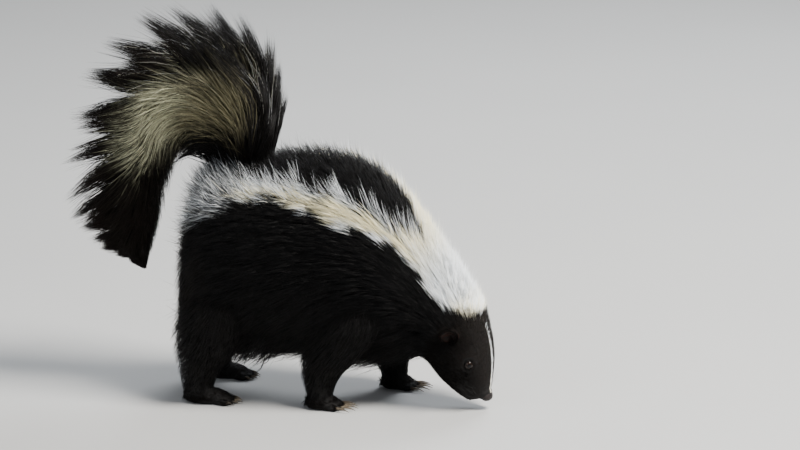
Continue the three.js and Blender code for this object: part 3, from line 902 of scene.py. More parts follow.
def finished(bm: bmesh.types.BMesh, name: str, finish: Finish, matrix: Matrix) -> bpy.types.Object:
    """Sets a closed shape in its place and dresses it.

    Args:
        bm: The shape on its own axes.
        name: The piece's name.
        finish: What it is made of.
        matrix: From its own axes to the animal's.

    Returns:
        The piece.
    """
    bmesh.ops.transform(bm, matrix=matrix, verts=bm.verts)
    bmesh.ops.recalc_face_normals(bm, faces=bm.faces)
    piece = as_object(bm, name)
    piece.data.materials.append(finish.material())
    return piece


@dataclass
class Place:
    """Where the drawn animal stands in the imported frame."""

    shift: Array

    def set_down(self, piece: bpy.types.Object, slot: str,
                 replaced: tuple[str, ...] = ()) -> bpy.types.Object:
        """Moves a piece from millimetres into the frame and hangs it on the body.

        Args:
            piece: The piece, in millimetres.
            slot: Not used.
            replaced: The nodes that it stands for.

        Returns:
            The same piece.
        """
        matrix = Matrix.Translation(Vector(self.shift * MM)) @ Matrix.Scale(MM, 4)
        piece.data.transform(matrix)
        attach(piece, BODY)
        if replaced:
            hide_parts(*replaced)
        log.info("%s: %d triangles", piece.name, sum(len(p.vertices) - 2 for p in piece.data.polygons))
        return piece


def chance(rng: np.random.Generator, count: int, share: Array | float) -> Array:
    """Draws for each tuft whether it is one of a share of them."""
    return rng.uniform(size=count) < share


@dataclass
class Tufts:
    """Tufts of hair on one loft, each a tapered three-sided blade.

    Attributes:
        loft: The body that they grow on.
        station: How far along the body each tuft is rooted.
        angle: How far round from the top it is rooted.
        run: How many millimetres each lies along the coat.
        turn: In which direction, where 0 is along the loft and a quarter turn is round it.
        height: How far out each tip is, as a share of the coat.
        width: Half of each tuft's width at its root.
        way: Which way the hair runs.
        rings: Levels between root and tip.
        clumps: How many tufts gather in a clump, and how strongly, once or more.
        bow: How much later than evenly a tuft glides away from its root.
        lift: How late it rises, from below 1 for early to above 1 for late.
        fan: How much it turns back to the top, as a share of its angle.
        rooted: The share at which the roots lie.
        locks: Stations and angles of big locks that the tufts gather in.
        lock_pull: How strongly they do.
        tight: How much of all gathering each tuft takes part in.
        marks: What each tuft carries for its material.
    """

    loft: Loft
    station: Array
    angle: Array
    run: Array
    turn: Array
    height: Array
    width: Array
    way: Hair = Hair.BACK
    rings: int = 2
    clumps: tuple[tuple[int, float], ...] = ((12, 0.4),)
    bow: float = 1.35
    lift: Array | float = 0.6
    fan: Array | float = 0.0
    rooted: float = -0.12
    locks: Array | None = None
    lock_pull: float = 0.95
    tight: Array | float = 1.0
    marks: dict[str, Array] = field(default_factory=dict)

    def landing(self, s: Array | float) -> tuple[Array, Array]:
        """Where a tuft's middle line stands over the loft before it gathers in a clump.

        Args:
            s: How far along the tuft, from 0 to 1.

        Returns:
            The station and angle of each tuft there.
        """
        along, around = (np.linalg.norm(v, axis=1) for v in self.loft.steps(self.station, self.angle))
        glide = np.asarray(s, float) ** self.bow
        forth = self.way.value * self.run * np.cos(self.turn) / along
        sweep = self.run * np.sin(self.turn) / np.maximum(around, 2.0) * np.sign(self.angle)
        sweep = sweep - self.angle * self.fan
        return self.station + forth * glide, self.angle + sweep * glide

    def guides(self, every: int, rng: np.random.Generator) -> Array:
        """Draws the tufts that clumps gather round.

        Args:
            every: How many tufts there are to a clump.
            rng: Source of the draws.

        Returns:
            For each tuft the number of the tuft that it gathers to.
        """
        count = len(self.station)
        chosen = rng.choice(count, max(1, count // every), replace=False)
        roots = self.loft.point(self.station, self.angle)
        return chosen[nearest(roots[chosen], roots)]

    def lock_guides(self) -> Array:
        """For each tuft the tuft in the middle of its lock, which is a tall one near that lock's place."""
        forth = (self.station[:, None] - self.locks[None, :, 0]) / LOCK_SPACING
        gap = np.hypot(forth, wrapped(self.angle[:, None] - self.locks[None, :, 1]))
        middle = np.argmin(gap + TALLNESS * (self.height.max() - self.height)[:, None], axis=0)
        return middle[np.argmin(gap, axis=1)]

    def trace(self, rng: np.random.Generator) -> tuple[Array, Array, Array]:
        """Lays the middle lines of the tufts, gathered in their clumps and locks.

        Args:
            rng: Source of the draws.

        Returns:
            Stations, angles and shares by tuft and level.
        """
        s = np.linspace(0, 1, self.rings + 1)
        levels = [self.landing(value) for value in s]
        station = np.stack([level[0] for level in levels], axis=1)
        angle = np.stack([level[1] for level in levels], axis=1)
        lift = np.broadcast_to(self.lift, self.station.shape)[:, None]
        share = self.rooted + (self.height - self.rooted)[:, None] * s[None] ** lift
        gathers = [(self.guides(every, rng), pull) for every, pull in self.clumps]
        if self.locks is not None:
            gathers.append((self.lock_guides(), self.lock_pull))
        for guide, pull in gathers:
            gather = pull * s[None] ** self.bow * rng.uniform(0.6, 1.0, (len(guide), 1))
            gather = gather * np.broadcast_to(self.tight, self.station.shape)[:, None]
            if self.locks is not None:
                level = np.clip(share / self.height[guide][:, None], 0, 1.3) ** (1 / lift[guide])
                near = np.clip(level * self.rings, 0, self.rings - 1e-6)
                lower = near.astype(int)
                part = near - lower
                rows = guide[:, None]
                aim_station = station[rows, lower] * (1 - part) + station[rows, lower + 1] * part
                aim_angle = angle[rows, lower] * (1 - part) + angle[rows, lower + 1] * part
            else:
                aim_station, aim_angle = station[guide], angle[guide]
                share = share + (share[guide] - share) * gather
            apart = wrapped(aim_angle - angle)
            station = station + (aim_station - station) * gather
            angle = angle + apart * gather
        return np.clip(station, 0, self.loft.last), angle, share

    def paths(self, rng: np.random.Generator) -> Array:
        """Lays the middle line of each tuft.

        Args:
            rng: Source of the draws.

        Returns:
            Points in millimetres by tuft and level, from the root to the tip.
        """
        points = self.loft.point(*self.trace(rng))
        points[..., 2] = np.maximum(points[..., 2], FLOOR_CLEARANCE)
        return points


def blades(name: str, paths: Array, faces_out: Array, width: Array, unwrap: Array, marks: dict[str, Array],
           finish: HairFinish, rng: np.random.Generator) -> bpy.types.Object:
    """Makes closed three-sided blades along many lines as one piece.

    Args:
        name: The piece's name.
        paths: Points by tuft and level, the last of which is the tip.
        faces_out: The way that each tuft's ridge faces.
        width: Half of each tuft's width at its root.
        unwrap: Where each root lies on an unwrap of the skin, both ways from 0 to 1.
        marks: Values carried by every tuft, or by every tuft and level.
        finish: The hair's finish.
        rng: Source of the draws.

    Returns:
        The piece.
    """
    count, levels, _ = paths.shape
    rings = levels - 1
    tangent = unit(np.gradient(paths, axis=1))
    roll = rng.uniform(-0.9, 0.9, (count, 1, 1))
    side = unit(np.cross(tangent, faces_out[:, None, :]))
    up = np.cross(side, tangent)
    side, up = side * np.cos(roll) + up * np.sin(roll), up * np.cos(roll) - side * np.sin(roll)
    s = np.linspace(0, 1, levels)[:rings]
    taper = (width[:, None] * (1 - s ** 1.5)[None, :])[..., None]
    centre, side, up = paths[:, :rings], side[:, :rings] * taper, up[:, :rings] * taper
    ring = np.stack([centre - side, centre + up * 0.8, centre + side], axis=2)
    vertices = np.concatenate([ring.reshape(count, rings * 3, 3), paths[:, -1:]], axis=1)
    tip = rings * 3
    faces = []
    for level in range(rings - 1):
        for k in range(3):
            a, b = level * 3 + k, level * 3 + (k + 1) % 3
            faces += [(a, b, b + 3), (a, b + 3, a + 3)]
    faces += [(tip - 3 + k, tip - 3 + (k + 1) % 3, tip) for k in range(3)]
    faces.append((2, 1, 0))
    pattern = np.array(faces)
    triangles = (pattern[None] + (np.arange(count) * (tip + 1))[:, None, None]).reshape(-1)
    mesh = bpy.data.meshes.new(name)
    mesh.vertices.add(count * (tip + 1))
    mesh.vertices.foreach_set("co", vertices.astype(np.float32).ravel())
    mesh.loops.add(len(triangles))
    mesh.loops.foreach_set("vertex_index", triangles.astype(np.int32))
    mesh.polygons.add(len(triangles) // 3)
    mesh.polygons.foreach_set("loop_start", np.arange(0, len(triangles), 3, dtype=np.int32))
    mesh.update(calc_edges=True)
    mesh.shade_smooth()
    across = np.append(np.tile([0.0, 0.5, 1.0], rings), 0.5)
    onward = np.append(np.repeat(s, 3), 1.0)
    local = np.stack([across, onward], axis=1)[pattern]
    local[-1, 1, 1] = 0.3
    uv = unwrap[:, None, None, :] * (1 - 2 * PATCH) + PATCH + (local[None] - 0.5) * PATCH
    layer = mesh.uv_layers.new(name="OFBake")
    layer.data.foreach_set("uv", uv.astype(np.float32).ravel())
    give_mark(mesh, "along", np.tile(onward, count))
    for key, value in marks.items():
        by_level = np.broadcast_to(value[:, None], (count, levels)) if value.ndim == 1 else value
        rows = [np.repeat(by_level[:, :rings], 3, axis=1), by_level[:, -1:]]
        give_mark(mesh, key, np.concatenate(rows, axis=1).ravel())
    mesh.materials.append(finish.material())
    return linked(name, mesh)


def coat_piece(name: str, tufts: Tufts, finish: HairFinish, rng: np.random.Generator) -> bpy.types.Object:
    """Makes one piece of the coat from tufts on a loft.

    Args:
        name: The piece's name.
        tufts: Its tufts.
        finish: The hair's finish.
        rng: Source of the draws.

    Returns:
        The piece.
    """
    out = tufts.loft.normal(tufts.station, tufts.angle)
    low, high = tufts.station.min(), tufts.station.max()
    unwrap = np.stack([(tufts.angle + math.pi) / FULL_TURN, (tufts.station - low) / (high - low)], axis=1)
    return blades(name, tufts.paths(rng), out, tufts.width, unwrap, tufts.marks, finish, rng)


def on_ellipsoid(ball: Array, centre: Array, radii: Array, axes: Array,
                 depth: float = 1.0) -> tuple[Array, Array]:
    """Roots of hair on an ellipsoid.

    Args:
        ball: Their places on a ball of radius one.
        centre: The ellipsoid's middle.
        radii: Half its length along its own axes.
        axes: Those axes as rows.
        depth: How far out the roots lie, where 1 is on the surface.

    Returns:
        The roots and the outward directions there.
    """
    return centre + (ball * radii * depth) @ axes, unit((ball / radii) @ axes)


@dataclass
class Eye:
    """An eyeball and its two lids."""

    side: Side
    station: float = 14.22
    degrees: float = 63.0
    radius: float = 4.2
    sunk: float = 1.7
    lid: float = 0.62

    @property
    def anchor(self) -> Anchor:
        """Where the eye sits on the head."""
        return head_anchor(self.station, self.degrees, self.side)

    @property
    def centre(self) -> Array:
        """The middle of the ball."""
        return self.anchor.at - self.anchor.out * self.sunk

    def ball(self) -> bpy.types.Object:
        """The eyeball, with how far each place faces forward as a mark for its iris."""
        anchor = self.anchor
        bm = bmesh.new()
        bmesh.ops.create_uvsphere(bm, u_segments=40, v_segments=26, radius=self.radius)
        for vertex in bm.verts:
            bulge = max(0.0, vertex.co.z / self.radius - 0.8)
            vertex.co *= 1 + 0.35 * bulge
        fronts = np.array([v.co.normalized().z for v in bm.verts])
        matrix = axes_matrix(self.centre, (anchor.across, anchor.forward, anchor.out))
        piece = finished(bm, f"eyeball_{self.side.name.lower()}", EyeFinish(), matrix)
        give_mark(piece.data, "front", fronts)
        return piece

    def lids(self) -> bpy.types.Object:
        """Both lids as one soft rim, drawn out to a corner at each end."""
        anchor = self.anchor
        bm = bmesh.new()
        bmesh.ops.create_circle(bm, segments=10, radius=self.lid, matrix=(
            Matrix.Translation((self.radius * 0.88, 0, 0)) @ Matrix.Rotation(math.pi / 2, 4, "X")))
        bmesh.ops.spin(bm, geom=bm.verts[:] + bm.edges[:], cent=(0, 0, 0), axis=(0, 0, 1), angle=FULL_TURN,
                       steps=44, use_merge=True)
        for vertex in bm.verts:
            x, y, z = vertex.co
            corner = abs(y) / self.radius
            vertex.co = (x * (0.86 - 0.1 * corner), y * 1.2, z - 0.8 * corner ** 2 + 0.25 * (x > 0))
        matrix = axes_matrix(anchor.at + anchor.out * 0.35, (anchor.across, anchor.forward, anchor.out))
        return finished(bm, f"lids_{self.side.name.lower()}", LID_SKIN, matrix)


@dataclass
class Mouth:
    """The line of the mouth with a lip on each side of it."""

    start: float = 18.2
    end: float = 15.9
    degrees: float = 118.0
    rise: float = -9.0
    depth: float = 0.9
    lip: float = 0.45
    width: float = 0.55

    def line(self) -> Array:
        """Points of the line, on each side from under the nose to the corner."""
        t = np.linspace(0, 1, 40)
        station = self.start + (self.end - self.start) * t ** 1.5
        turn = np.minimum(1, t * 2.4)
        angle = np.radians(180 + (self.degrees + self.rise * t - 180) * turn)
        return np.concatenate([trunk.point(station, side.value * angle, 0.6) for side in Side])

    def gap(self, points: Array) -> Array:
        """How far some points lie from the line, in millimetres."""
        return np.sqrt(((points[:, None, :] - self.line()[None]) ** 2).sum(-1)).min(1)

    def relief(self, points: Array) -> Array:
        """How far the skin stands out at some points: down in the line and up on the lips."""
        gap = self.gap(points)
        return self.lip * np.exp(-((gap - 1.5) / 0.9) ** 2) - self.depth * np.exp(-(gap / self.width) ** 2)


@dataclass
class Nose:
    """The bare nose pad with its two comma-shaped nostrils and the groove between them."""

    at: tuple[float, float, float] = (183.5, 0, 13)
    radii: tuple[float, float, float] = (5.4, 7.0, 5.2)
    tilt: float = 0.85
    nostril_side: float = 3.0
    collar: tuple[float, float, float] = (6.6, 8.4, 6.6)
    collar_back: float = 3.6

    @property
    def centre(self) -> Array:
        """The middle of the pad."""
        return trunk.turn(np.array([self.at]), np.array([trunk.last]))[0]

    def matrix(self) -> Matrix:
        """From the pad's own axes, with x ahead, to the head."""
        turn = Matrix.Rotation(trunk.head_turn, 4, "Z") @ Matrix.Rotation(self.tilt, 4, "Y")
        return Matrix.Translation(Vector(self.centre)) @ turn

    def collar_shell(self) -> bpy.types.Object:
        """The flesh of the muzzle's tip that holds the pad."""
        bm = ellipsoid(np.array([-self.collar_back, 0, 0]), self.collar, 32)
        bmesh.ops.transform(bm, matrix=self.matrix(), verts=bm.verts)
        return as_object(bm, "shell")

    def build(self) -> bpy.types.Object:
        """The pad."""
        bm = ellipsoid(np.zeros(3), self.radii, 56)
        co = corners(bm)
        ahead = smooth(co[:, 0] / self.radii[0], 0.1, 0.6)
        side = np.abs(co[:, 1])
        hole = np.exp(-(((side - self.nostril_side) / 1.25) ** 2 + ((co[:, 2] + 0.9) / 1.5) ** 2) ** 1.4)
        slit = np.exp(-((side - self.nostril_side - 1.9) / 1.5) ** 2 - ((co[:, 2] + 1.7) / 0.7) ** 2)
        groove = np.exp(-(side / 0.45) ** 2) * smooth(-co[:, 2], -1.5, 0.5)
        flare = np.exp(-((side - self.nostril_side) / 2.6) ** 2 - ((co[:, 2] - 1.2) / 1.6) ** 2)
        push = ahead * (0.5 * flare - 3.2 * hole - 1.5 * slit - 0.6 * groove)
        move_to(bm, co + np.stack([push, 0 * push, 0 * push], axis=1))
        return finished(bm, "nose_pad", NOSE_SKIN, self.matrix())


@dataclass
class Ear:
    """A small round cupped ear."""

    side: Side
    station: float = 12.2
    degrees: float = 73.0
    high: float = 11.0
    wide: float = 9.0
    thick: float = 3.4

    def axes(self) -> tuple[Array, tuple[Array, Array, Array]]:
        """The ear's middle, and its directions across, out of its cup and up to its rim."""
        anchor = head_anchor(self.station, self.degrees, self.side)
        lean = unit(anchor.out * 0.75 - anchor.forward * 0.66)
        facing = unit(anchor.forward * 0.75 + anchor.out * 0.66)
        return anchor.at + lean * self.high * 0.42, (unit(np.cross(lean, facing)), facing, lean)

    def build(self) -> bpy.types.Object:
        """The shell of the ear, hollow in front and rounded at its rim."""
        bm = bmesh.new()
        bmesh.ops.create_uvsphere(bm, u_segments=40, v_segments=28, radius=1)
        for vertex in bm.verts:
            x, y, z = vertex.co
            reach = math.hypot(x, z)
            dish = 1.55 * max(0.0, 1 - (reach / 0.86) ** 2) if y > 0 else 0.0
            near_fold = ((z + 0.35) / 0.25) ** 2, ((abs(x) - 0.35) / 0.2) ** 2
            fold = 0.22 * math.exp(-near_fold[0] - near_fold[1]) if y > 0 else 0.0
            thick = (y * 0.95 - dish + fold) * self.thick + 0.09 * self.thick * reach ** 2
            vertex.co = (x * self.wide, thick, z * self.high)
        return finished(bm, f"ear_shell_{self.side.name.lower()}", EAR_SKIN, axes_matrix(*self.axes()))


@dataclass
class EarCoat:
    """Short fur on the back and the rim of one ear, with a few hairs over its cup."""

    ear: Ear
    count: int = 2600
    width: float = 0.28

    def build(self) -> bpy.types.Object:
        """The ear's fur as one piece."""
        rng = np.random.default_rng(500 + self.ear.side.value)
        centre, (across, facing, up) = self.ear.axes()
        axes = np.stack([across, facing, up])
        radii = np.array([self.ear.wide, self.ear.thick, self.ear.high])
        ball = unit(rng.normal(0, 1, (self.count, 3)) * (1, 0.8, 1))
        reach = np.hypot(ball[:, 0], ball[:, 2])
        keep = (ball[:, 1] < 0.25) | ((reach > 0.8) & (ball[:, 1] < 0.6)) | (
            (ball[:, 0] * self.ear.side.value < -0.3) & (rng.uniform(size=self.count) < 0.35))
        ball = ball[keep]
        count = len(ball)
        root, out = on_ellipsoid(ball, centre, radii, axes, 0.97)
        comb = unit(up + facing * np.where(ball[:, 1:2] > 0.2, 0.5, -0.1) + rng.normal(0, 0.2, (count, 3)))
        comb = unit(comb - out * (comb * out).sum(1, keepdims=True) * 0.8)
        length = rng.uniform(2.6, 5.2, (count, 1))
        s = np.linspace(0, 1, 2)[None, :, None]
        paths = root[:, None] + out[:, None] * (s * 0.9 - 0.3) + comb[:, None] * length[:, None] * s
        warm = rng.uniform(0, 0.5, count)
        marks = {"white": np.zeros(count), "warm": warm, "shade": rng.uniform(0, 1, count)}
        width = self.width * rng.uniform(0.8, 1.2, count)
        name = f"coat_ear_{self.ear.side.name.lower()}"
        return blades(name, paths, out, width, (ball[:, ::2] + 1) / 2, marks, FACE_HAIR, rng)


@dataclass
class Paw:
    """A foot with a flat sole, five toes and their claws."""

    name: str
    side: Side
    heel: float
    y: float
    length: float
    claw: float
    half: float = 11.0
    high: float = 15.0
    toe: float = 8.0
    toes: int = 5
    toe_radius: float = 3.4
    claw_radius: float = 1.6
    toe_turn: float = 0.3
    outer_toes_back: float = 4.5
    sole_cut: float = 0.9

    @property
    def middle(self) -> Array:
        """The middle of the foot's pad."""
        return np.array([self.heel + self.length / 2, self.side.value * self.y, self.high * 0.42])

    @property
    def pad_radii(self) -> tuple[float, float, float]:
        """Half the pad's length, width and height."""
        return self.length / 2 + 2, self.half, self.high / 2 + 1

    @property
    def toe_radii(self) -> tuple[float, float, float]:
        """Half a toe's length, width and height."""
        return self.toe, self.toe_radius, self.toe_radius + 0.9

    def spreads(self) -> Array:
        """Where the toes stand across the foot, from -1 to 1."""
        return np.linspace(-1, 1, self.toes)

    def toe_axes(self, spread: float) -> tuple[Array, Array]:
        """Finds one toe.

        Args:
            spread: Where it stands across the foot, from -1 to 1.

        Returns:
            Its middle and the way it points.
        """
        turn = spread * self.toe_turn
        along = np.array([math.cos(turn), math.sin(turn), 0])
        reach = self.length / 2 - self.outer_toes_back * spread * spread
        place = self.middle + np.array([reach, spread * (self.half - 2.4), 0])
        return np.array([place[0], place[1], self.toe_radius]), along

    def shells(self) -> list[bpy.types.Object]:
        """Closed shells of the pad and the toes, flat below."""
        made = [ellipsoid(self.middle, self.pad_radii, 32)]
        for spread in self.spreads():
            centre, along = self.toe_axes(spread)
            toe = ellipsoid(np.zeros(3), self.toe_radii, 20)
            turn = Matrix.Rotation(math.atan2(along[1], along[0]), 4, "Z")
            bmesh.ops.transform(toe, matrix=Matrix.Translation(Vector(centre)) @ turn, verts=toe.verts)
            made.append(toe)
        for bm in made:
            cut = bmesh.ops.bisect_plane(bm, geom=bm.verts[:] + bm.edges[:] + bm.faces[:], clear_inner=True,
                                         plane_co=(0, 0, self.sole_cut), plane_no=(0, 0, 1))
            rim = [e for e in cut["geom_cut"] if isinstance(e, bmesh.types.BMEdge)]
            bmesh.ops.edgeloop_fill(bm, edges=rim)
            bmesh.ops.translate(bm, vec=(0, 0, -self.sole_cut), verts=bm.verts)
        return [as_object(bm, "shell") for bm in made]

    def claws(self) -> bpy.types.Object:
        """The foot's five claws, long and curved on a forefoot."""
        made = []
        for spread in self.spreads():
            centre, along = self.toe_axes(spread)
            knuckle = centre + along * (self.toe - 2.5)
            bm = bmesh.new()
            bmesh.ops.create_cone(bm, cap_ends=True, segments=10, radius1=1, radius2=0.12, depth=1)
            walls = [e for e in bm.edges if abs(e.verts[0].co.z - e.verts[1].co.z) > 0.5]
            bmesh.ops.subdivide_edges(bm, edges=walls, cuts=7)
            for vertex in bm.verts:
                x, y, z = vertex.co
                t = z + 0.5
                arc = knuckle + along * t * (self.claw + 2)
                arc[2] += 1.6 * math.sin(t * math.pi * 0.8) - 2.0 * t * t
                vertex.co = (arc[0], arc[1] + x * self.claw_radius * 0.7,
                             max(arc[2] + y * self.claw_radius - self.sole_cut, 0.15))
            bmesh.ops.recalc_face_normals(bm, faces=bm.faces)
            made.append(as_object(bm, "claw"))
        piece = joined(made, f"claws_{self.name}")
        piece.data.materials.append(HORN.material())
        return piece


PAWS = [
    Paw("forepaw_right", Side.RIGHT, 22, 42, 27, 13),
    Paw("forepaw_left", Side.LEFT, 74, 40, 27, 13),
    Paw("hindpaw_right", Side.RIGHT, -91, 44, 40, 6),
    Paw("hindpaw_left", Side.LEFT, -96, 44, 40, 6),
]
EYES = [Eye(Side.RIGHT), Eye(Side.LEFT)]
EARS = [Ear(Side.RIGHT), Ear(Side.LEFT)]


@dataclass
class Skin:
    """One skin over the whole animal: trunk, tail, legs, feet and the finer face."""

    head_from: float = 11.9
    body_voxel: float = 1.8
    face_voxel: float = 0.85
    rounds: int = 4
    socket: float = 1.9
    brow: float = 0.6
    mouth: Mouth = field(default_factory=Mouth)

    def body(self) -> bpy.types.Object:
        """Trunk, tail, legs and feet in one surface."""
        shells = [
            as_object(loft_shell(trunk, 0, self.head_from + 0.5, 40, 50), "shell"),
            as_object(loft_shell(tail, 0, tail.last - 0.6, 20, 40), "shell"),
        ]
        shells += [as_object(loft_shell(leg, 0, leg.last, 24, 20), "shell") for leg in legs.values()]
        for paw in PAWS:
            shells += paw.shells()
        return remeshed(shells, "body", self.body_voxel, self.rounds)

    def face(self) -> bpy.types.Object:
        """The head's skin, with its eye sockets, brows, cheeks, lips and the line of the mouth."""
        head = loft_shell(trunk, self.head_from, trunk.last, 90, 90)
        shells = [as_object(head, "shell"), Nose().collar_shell()]
        piece = remeshed(shells, "face", self.face_voxel, self.rounds)
        co = positions(piece.data)
        normals = np.empty(co.size)
        piece.data.vertex_normals.foreach_get("vector", normals)
        push = 0.25 + self.mouth.relief(co)
        for eye in EYES:
            gap = np.linalg.norm(co - eye.anchor.at, axis=1)
            push -= self.socket * np.exp(-(gap / 4.0) ** 2)
            push += self.brow * np.exp(-((gap - 6.5) / 2.0) ** 2)
        moved = co + normals.reshape(-1, 3) * push[:, None]
        piece.data.vertices.foreach_set("co", moved.ravel())
        return piece

    def build(self) -> bpy.types.Object:
        """The whole skin with its markings."""
        piece = joined([self.body(), self.face()], "skin")
        co = positions(piece.data)
        station, angle = locate(co)
        near_trunk = np.linalg.norm(trunk.point(station, angle) - co, axis=1) < 4
        white = smooth(white_depth(station, angle), -2, 2) * near_trunk
        give_mark(piece.data, "white", white)
        piece.data.materials.append(HideFinish().material())
        return piece


@dataclass
class TrunkZones:
    """How far each tuft of the trunk lies in the zones of its coat, mostly from 0 to 1."""

    station: Array
    angle: Array
    rng: InitVar[np.random.Generator]

    def __post_init__(self, rng: np.random.Generator) -> None:
        """Works out the zones.

        Args:
            rng: Source of the draws.
        """
        station, around = self.station, np.abs(self.angle)
        self.count = len(station)
        self.around = around
        self.rear = 1 - smooth(station, 0.8, 2.6)
        self.fluff = smooth(station, 1.3, 2.0) * (1 - smooth(station, 3.0, 3.9)) * smooth(around, 1.15, 0.6)
        self.ridge = 1 - smooth(around, 0.35, 0.8)
        self.flank = smooth(around, 0.9, 1.5)
        self.low = smooth(around, 1.2, 2.2)
        self.under = smooth(around, 2.3, 2.9)
        self.thigh = smooth(around, 1.0, 1.6) * (1 - smooth(station, 2.0, 3.6))
        self.skirt = smooth(station, 2.6, 3.2) * (1 - smooth(station, 4.3, 5.2)) * smooth(around, 2.1, 2.4)
        self.chest = smooth(station, 6.6, 7.2) * (1 - smooth(station, 9.4, 10.2)) * smooth(around, 2.2, 2.5)
        self.white = white_depth(station, self.angle)
        edge_hair = smooth(-self.white, -16, -2) * smooth(self.white, -4, 3)
        self.upper = edge_hair * (around < 0.9) * (station < 9.3)
        self.loose = self.upper * chance(rng, self.count, 0.4)
        self.burst = self.fluff * chance(rng, self.count, 0.6)


@dataclass
class TrunkCoat:
    """One stretch of the coat on the trunk."""

    name: str
    first: float
    final: float
    count: int
    seed: int
    width: float = 0.4
    rings: int = 2

    def tufts(self, zone: TrunkZones, rng: np.random.Generator) -> Tufts:
        """Lays the hair: how long it is, where it points and how far it stands out.

        Args:
            zone: Where it is rooted.
            rng: Source of the draws.

        Returns:
            The tufts, without their marks.
        """
        station, count = zone.station, zone.count
        run = 22 + 8 * zone.flank - 10 * zone.ridge - 1 * zone.loose + 3 * zone.thigh + 9 * zone.burst
        run = run * (1 - 0.3 * smooth(station, 9.2, 11.8))
        turn = 0.1 * zone.low + 0.4 * zone.low * (1 - zone.under) + 0.55 * zone.thigh
        turn = turn + 0.9 * zone.rear * zone.flank - 0.8 * zone.loose
        turn = turn + rng.normal(0, 0.1 + 0.18 * zone.loose, count)
        layer = rng.beta(2.4, 1.3, count)
        height = 0.95 + 0.6 * zone.loose - 0.08 * zone.flank + 0.12 * zone.ridge + 0.2 * zone.fluff
        height = height + 1.25 * zone.burst + 0.5 * zone.low
        height = height + 0.8 * zone.rear * chance(rng, count, 0.35) + 0.35 * chance(rng, count, 0.12)
        height = height + 1.1 * smooth(zone.around, 1.8, 2.1) * chance(rng, count, 0.16)
        hanging = (zone.skirt * 2.2 + zone.chest * 1.3) * chance(rng, count, 0.4) * rng.uniform(0.4, 1, count)
        height = height + hanging
        run = run - 8 * np.minimum(hanging, 1)
        waves = station * 7.3 + 4 * zone.angle, 9 * zone.angle - station * 3.1
        height = height + 0.07 * np.sin(waves[0]) * np.sin(waves[1])
        stray = chance(rng, count, 0.08 + 0.22 * (1 - smooth(station, 1.6, 3)) + 0.06 * zone.ridge)
        run = run * (1 - 0.3 * stray)
        height = (height + 0.5 * stray) * (0.4 + 0.65 * layer) * rng.uniform(0.93, 1.07, count)
        side = np.abs(zone.around - 1.55) < 0.65
        height = np.where(side, np.minimum(height, 1 + SIDE_FLUFF / spline(TRUNK, station)[:, 6]), height)
        run = run * rng.uniform(0.75, 1.25, count) * (0.6 + 0.45 * layer)
        width = self.width * rng.uniform(0.7, 1.25, count) * (1 - 0.5 * zone.loose) * (1 - 0.35 * stray)
        lift = 0.55 + 0.35 * zone.ridge + 0.35 * zone.loose + 0.45 * zone.fluff + 0.8 * stray
        return Tufts(trunk, station, zone.angle, run, turn, height, width, Hair.BACK, self.rings, lift=lift,
                     clumps=((9, 0.35), (70, 0.22)), tight=1 - 0.75 * np.maximum(zone.loose > 0.3, stray))

    def marks(self, tufts: Tufts, zone: TrunkZones, rng: np.random.Generator) -> dict[str, Array]:
        """Colours the hair: black or white by where it lands, loose hair by where it is rooted.

        Args:
            tufts: The tufts.
            zone: Where they are rooted.
            rng: Source of the draws.

        Returns:
            What each tuft carries for its material.
        """
        station, count = zone.station, zone.count
        seen = white_depth(*tufts.landing(0.6)) + rng.normal(0, 1.2, count) * (1 + 1.6 * zone.upper)
        white = np.where(zone.loose > 0.3, zone.white > 0, seen > 0).astype(float)
        grizzled = np.maximum(zone.burst, zone.fluff * (zone.around < 0.7) * 0.6) * chance(rng, count, 0.9)
        frost = rng.beta(0.5, 1.1, count) * (0.75 + 0.25 * smooth(zone.around, 0.5, 0.8))
        white = np.where(grizzled > 0.25, np.minimum(frost, 1), white)
        middle = smooth(station, 2.6, 4.4) * (1 - smooth(station, 8.5, 10.5)) * smooth(zone.white, -2, 5)
        cap_edge = smooth(station, 11.2, 11.9)
        warm = white * np.maximum(0.85 * middle, 0.6 * cap_edge)
        warm = warm + (1 - white) * 0.6 * np.maximum(zone.thigh, zone.rear)
        # Loose hair takes no warm mark, so it keeps the white's blue tint of painted skylight in shade.
        warm = np.clip(warm + rng.normal(0, 0.1, count) - 0.8 * (zone.loose > 0.3), 0, 1)
        # Painted rim light: pale tips on some black hairs along the top of the back, as if lit from behind.
        painted_rim_light = np.exp(-((np.degrees(zone.angle) - 5) / 6) ** 2) * smooth(station, 3, 4)
        rim_lit_tips = (1 - white) * painted_rim_light * chance(rng, count, 0.4)
        by_level = white[:, None] + rim_lit_tips[:, None] * np.array([0, 0, 0.7])[None]
        return {"white": by_level, "warm": warm, "shade": rng.uniform(0, 1, count)}

    def build(self) -> bpy.types.Object:
        """The stretch of coat as one piece."""
        rng = np.random.default_rng(self.seed)
        station, angle = trunk.scatter(self.count, self.first, self.final, rng)
        keep = (np.abs(angle) < 2.45) | chance(rng, self.count, 0.55)
        zone = TrunkZones(station[keep], angle[keep], rng)
        tufts = self.tufts(zone, rng)
        tufts.marks = self.marks(tufts, zone, rng)
        return coat_piece(self.name, tufts, COAT_HAIR, rng)


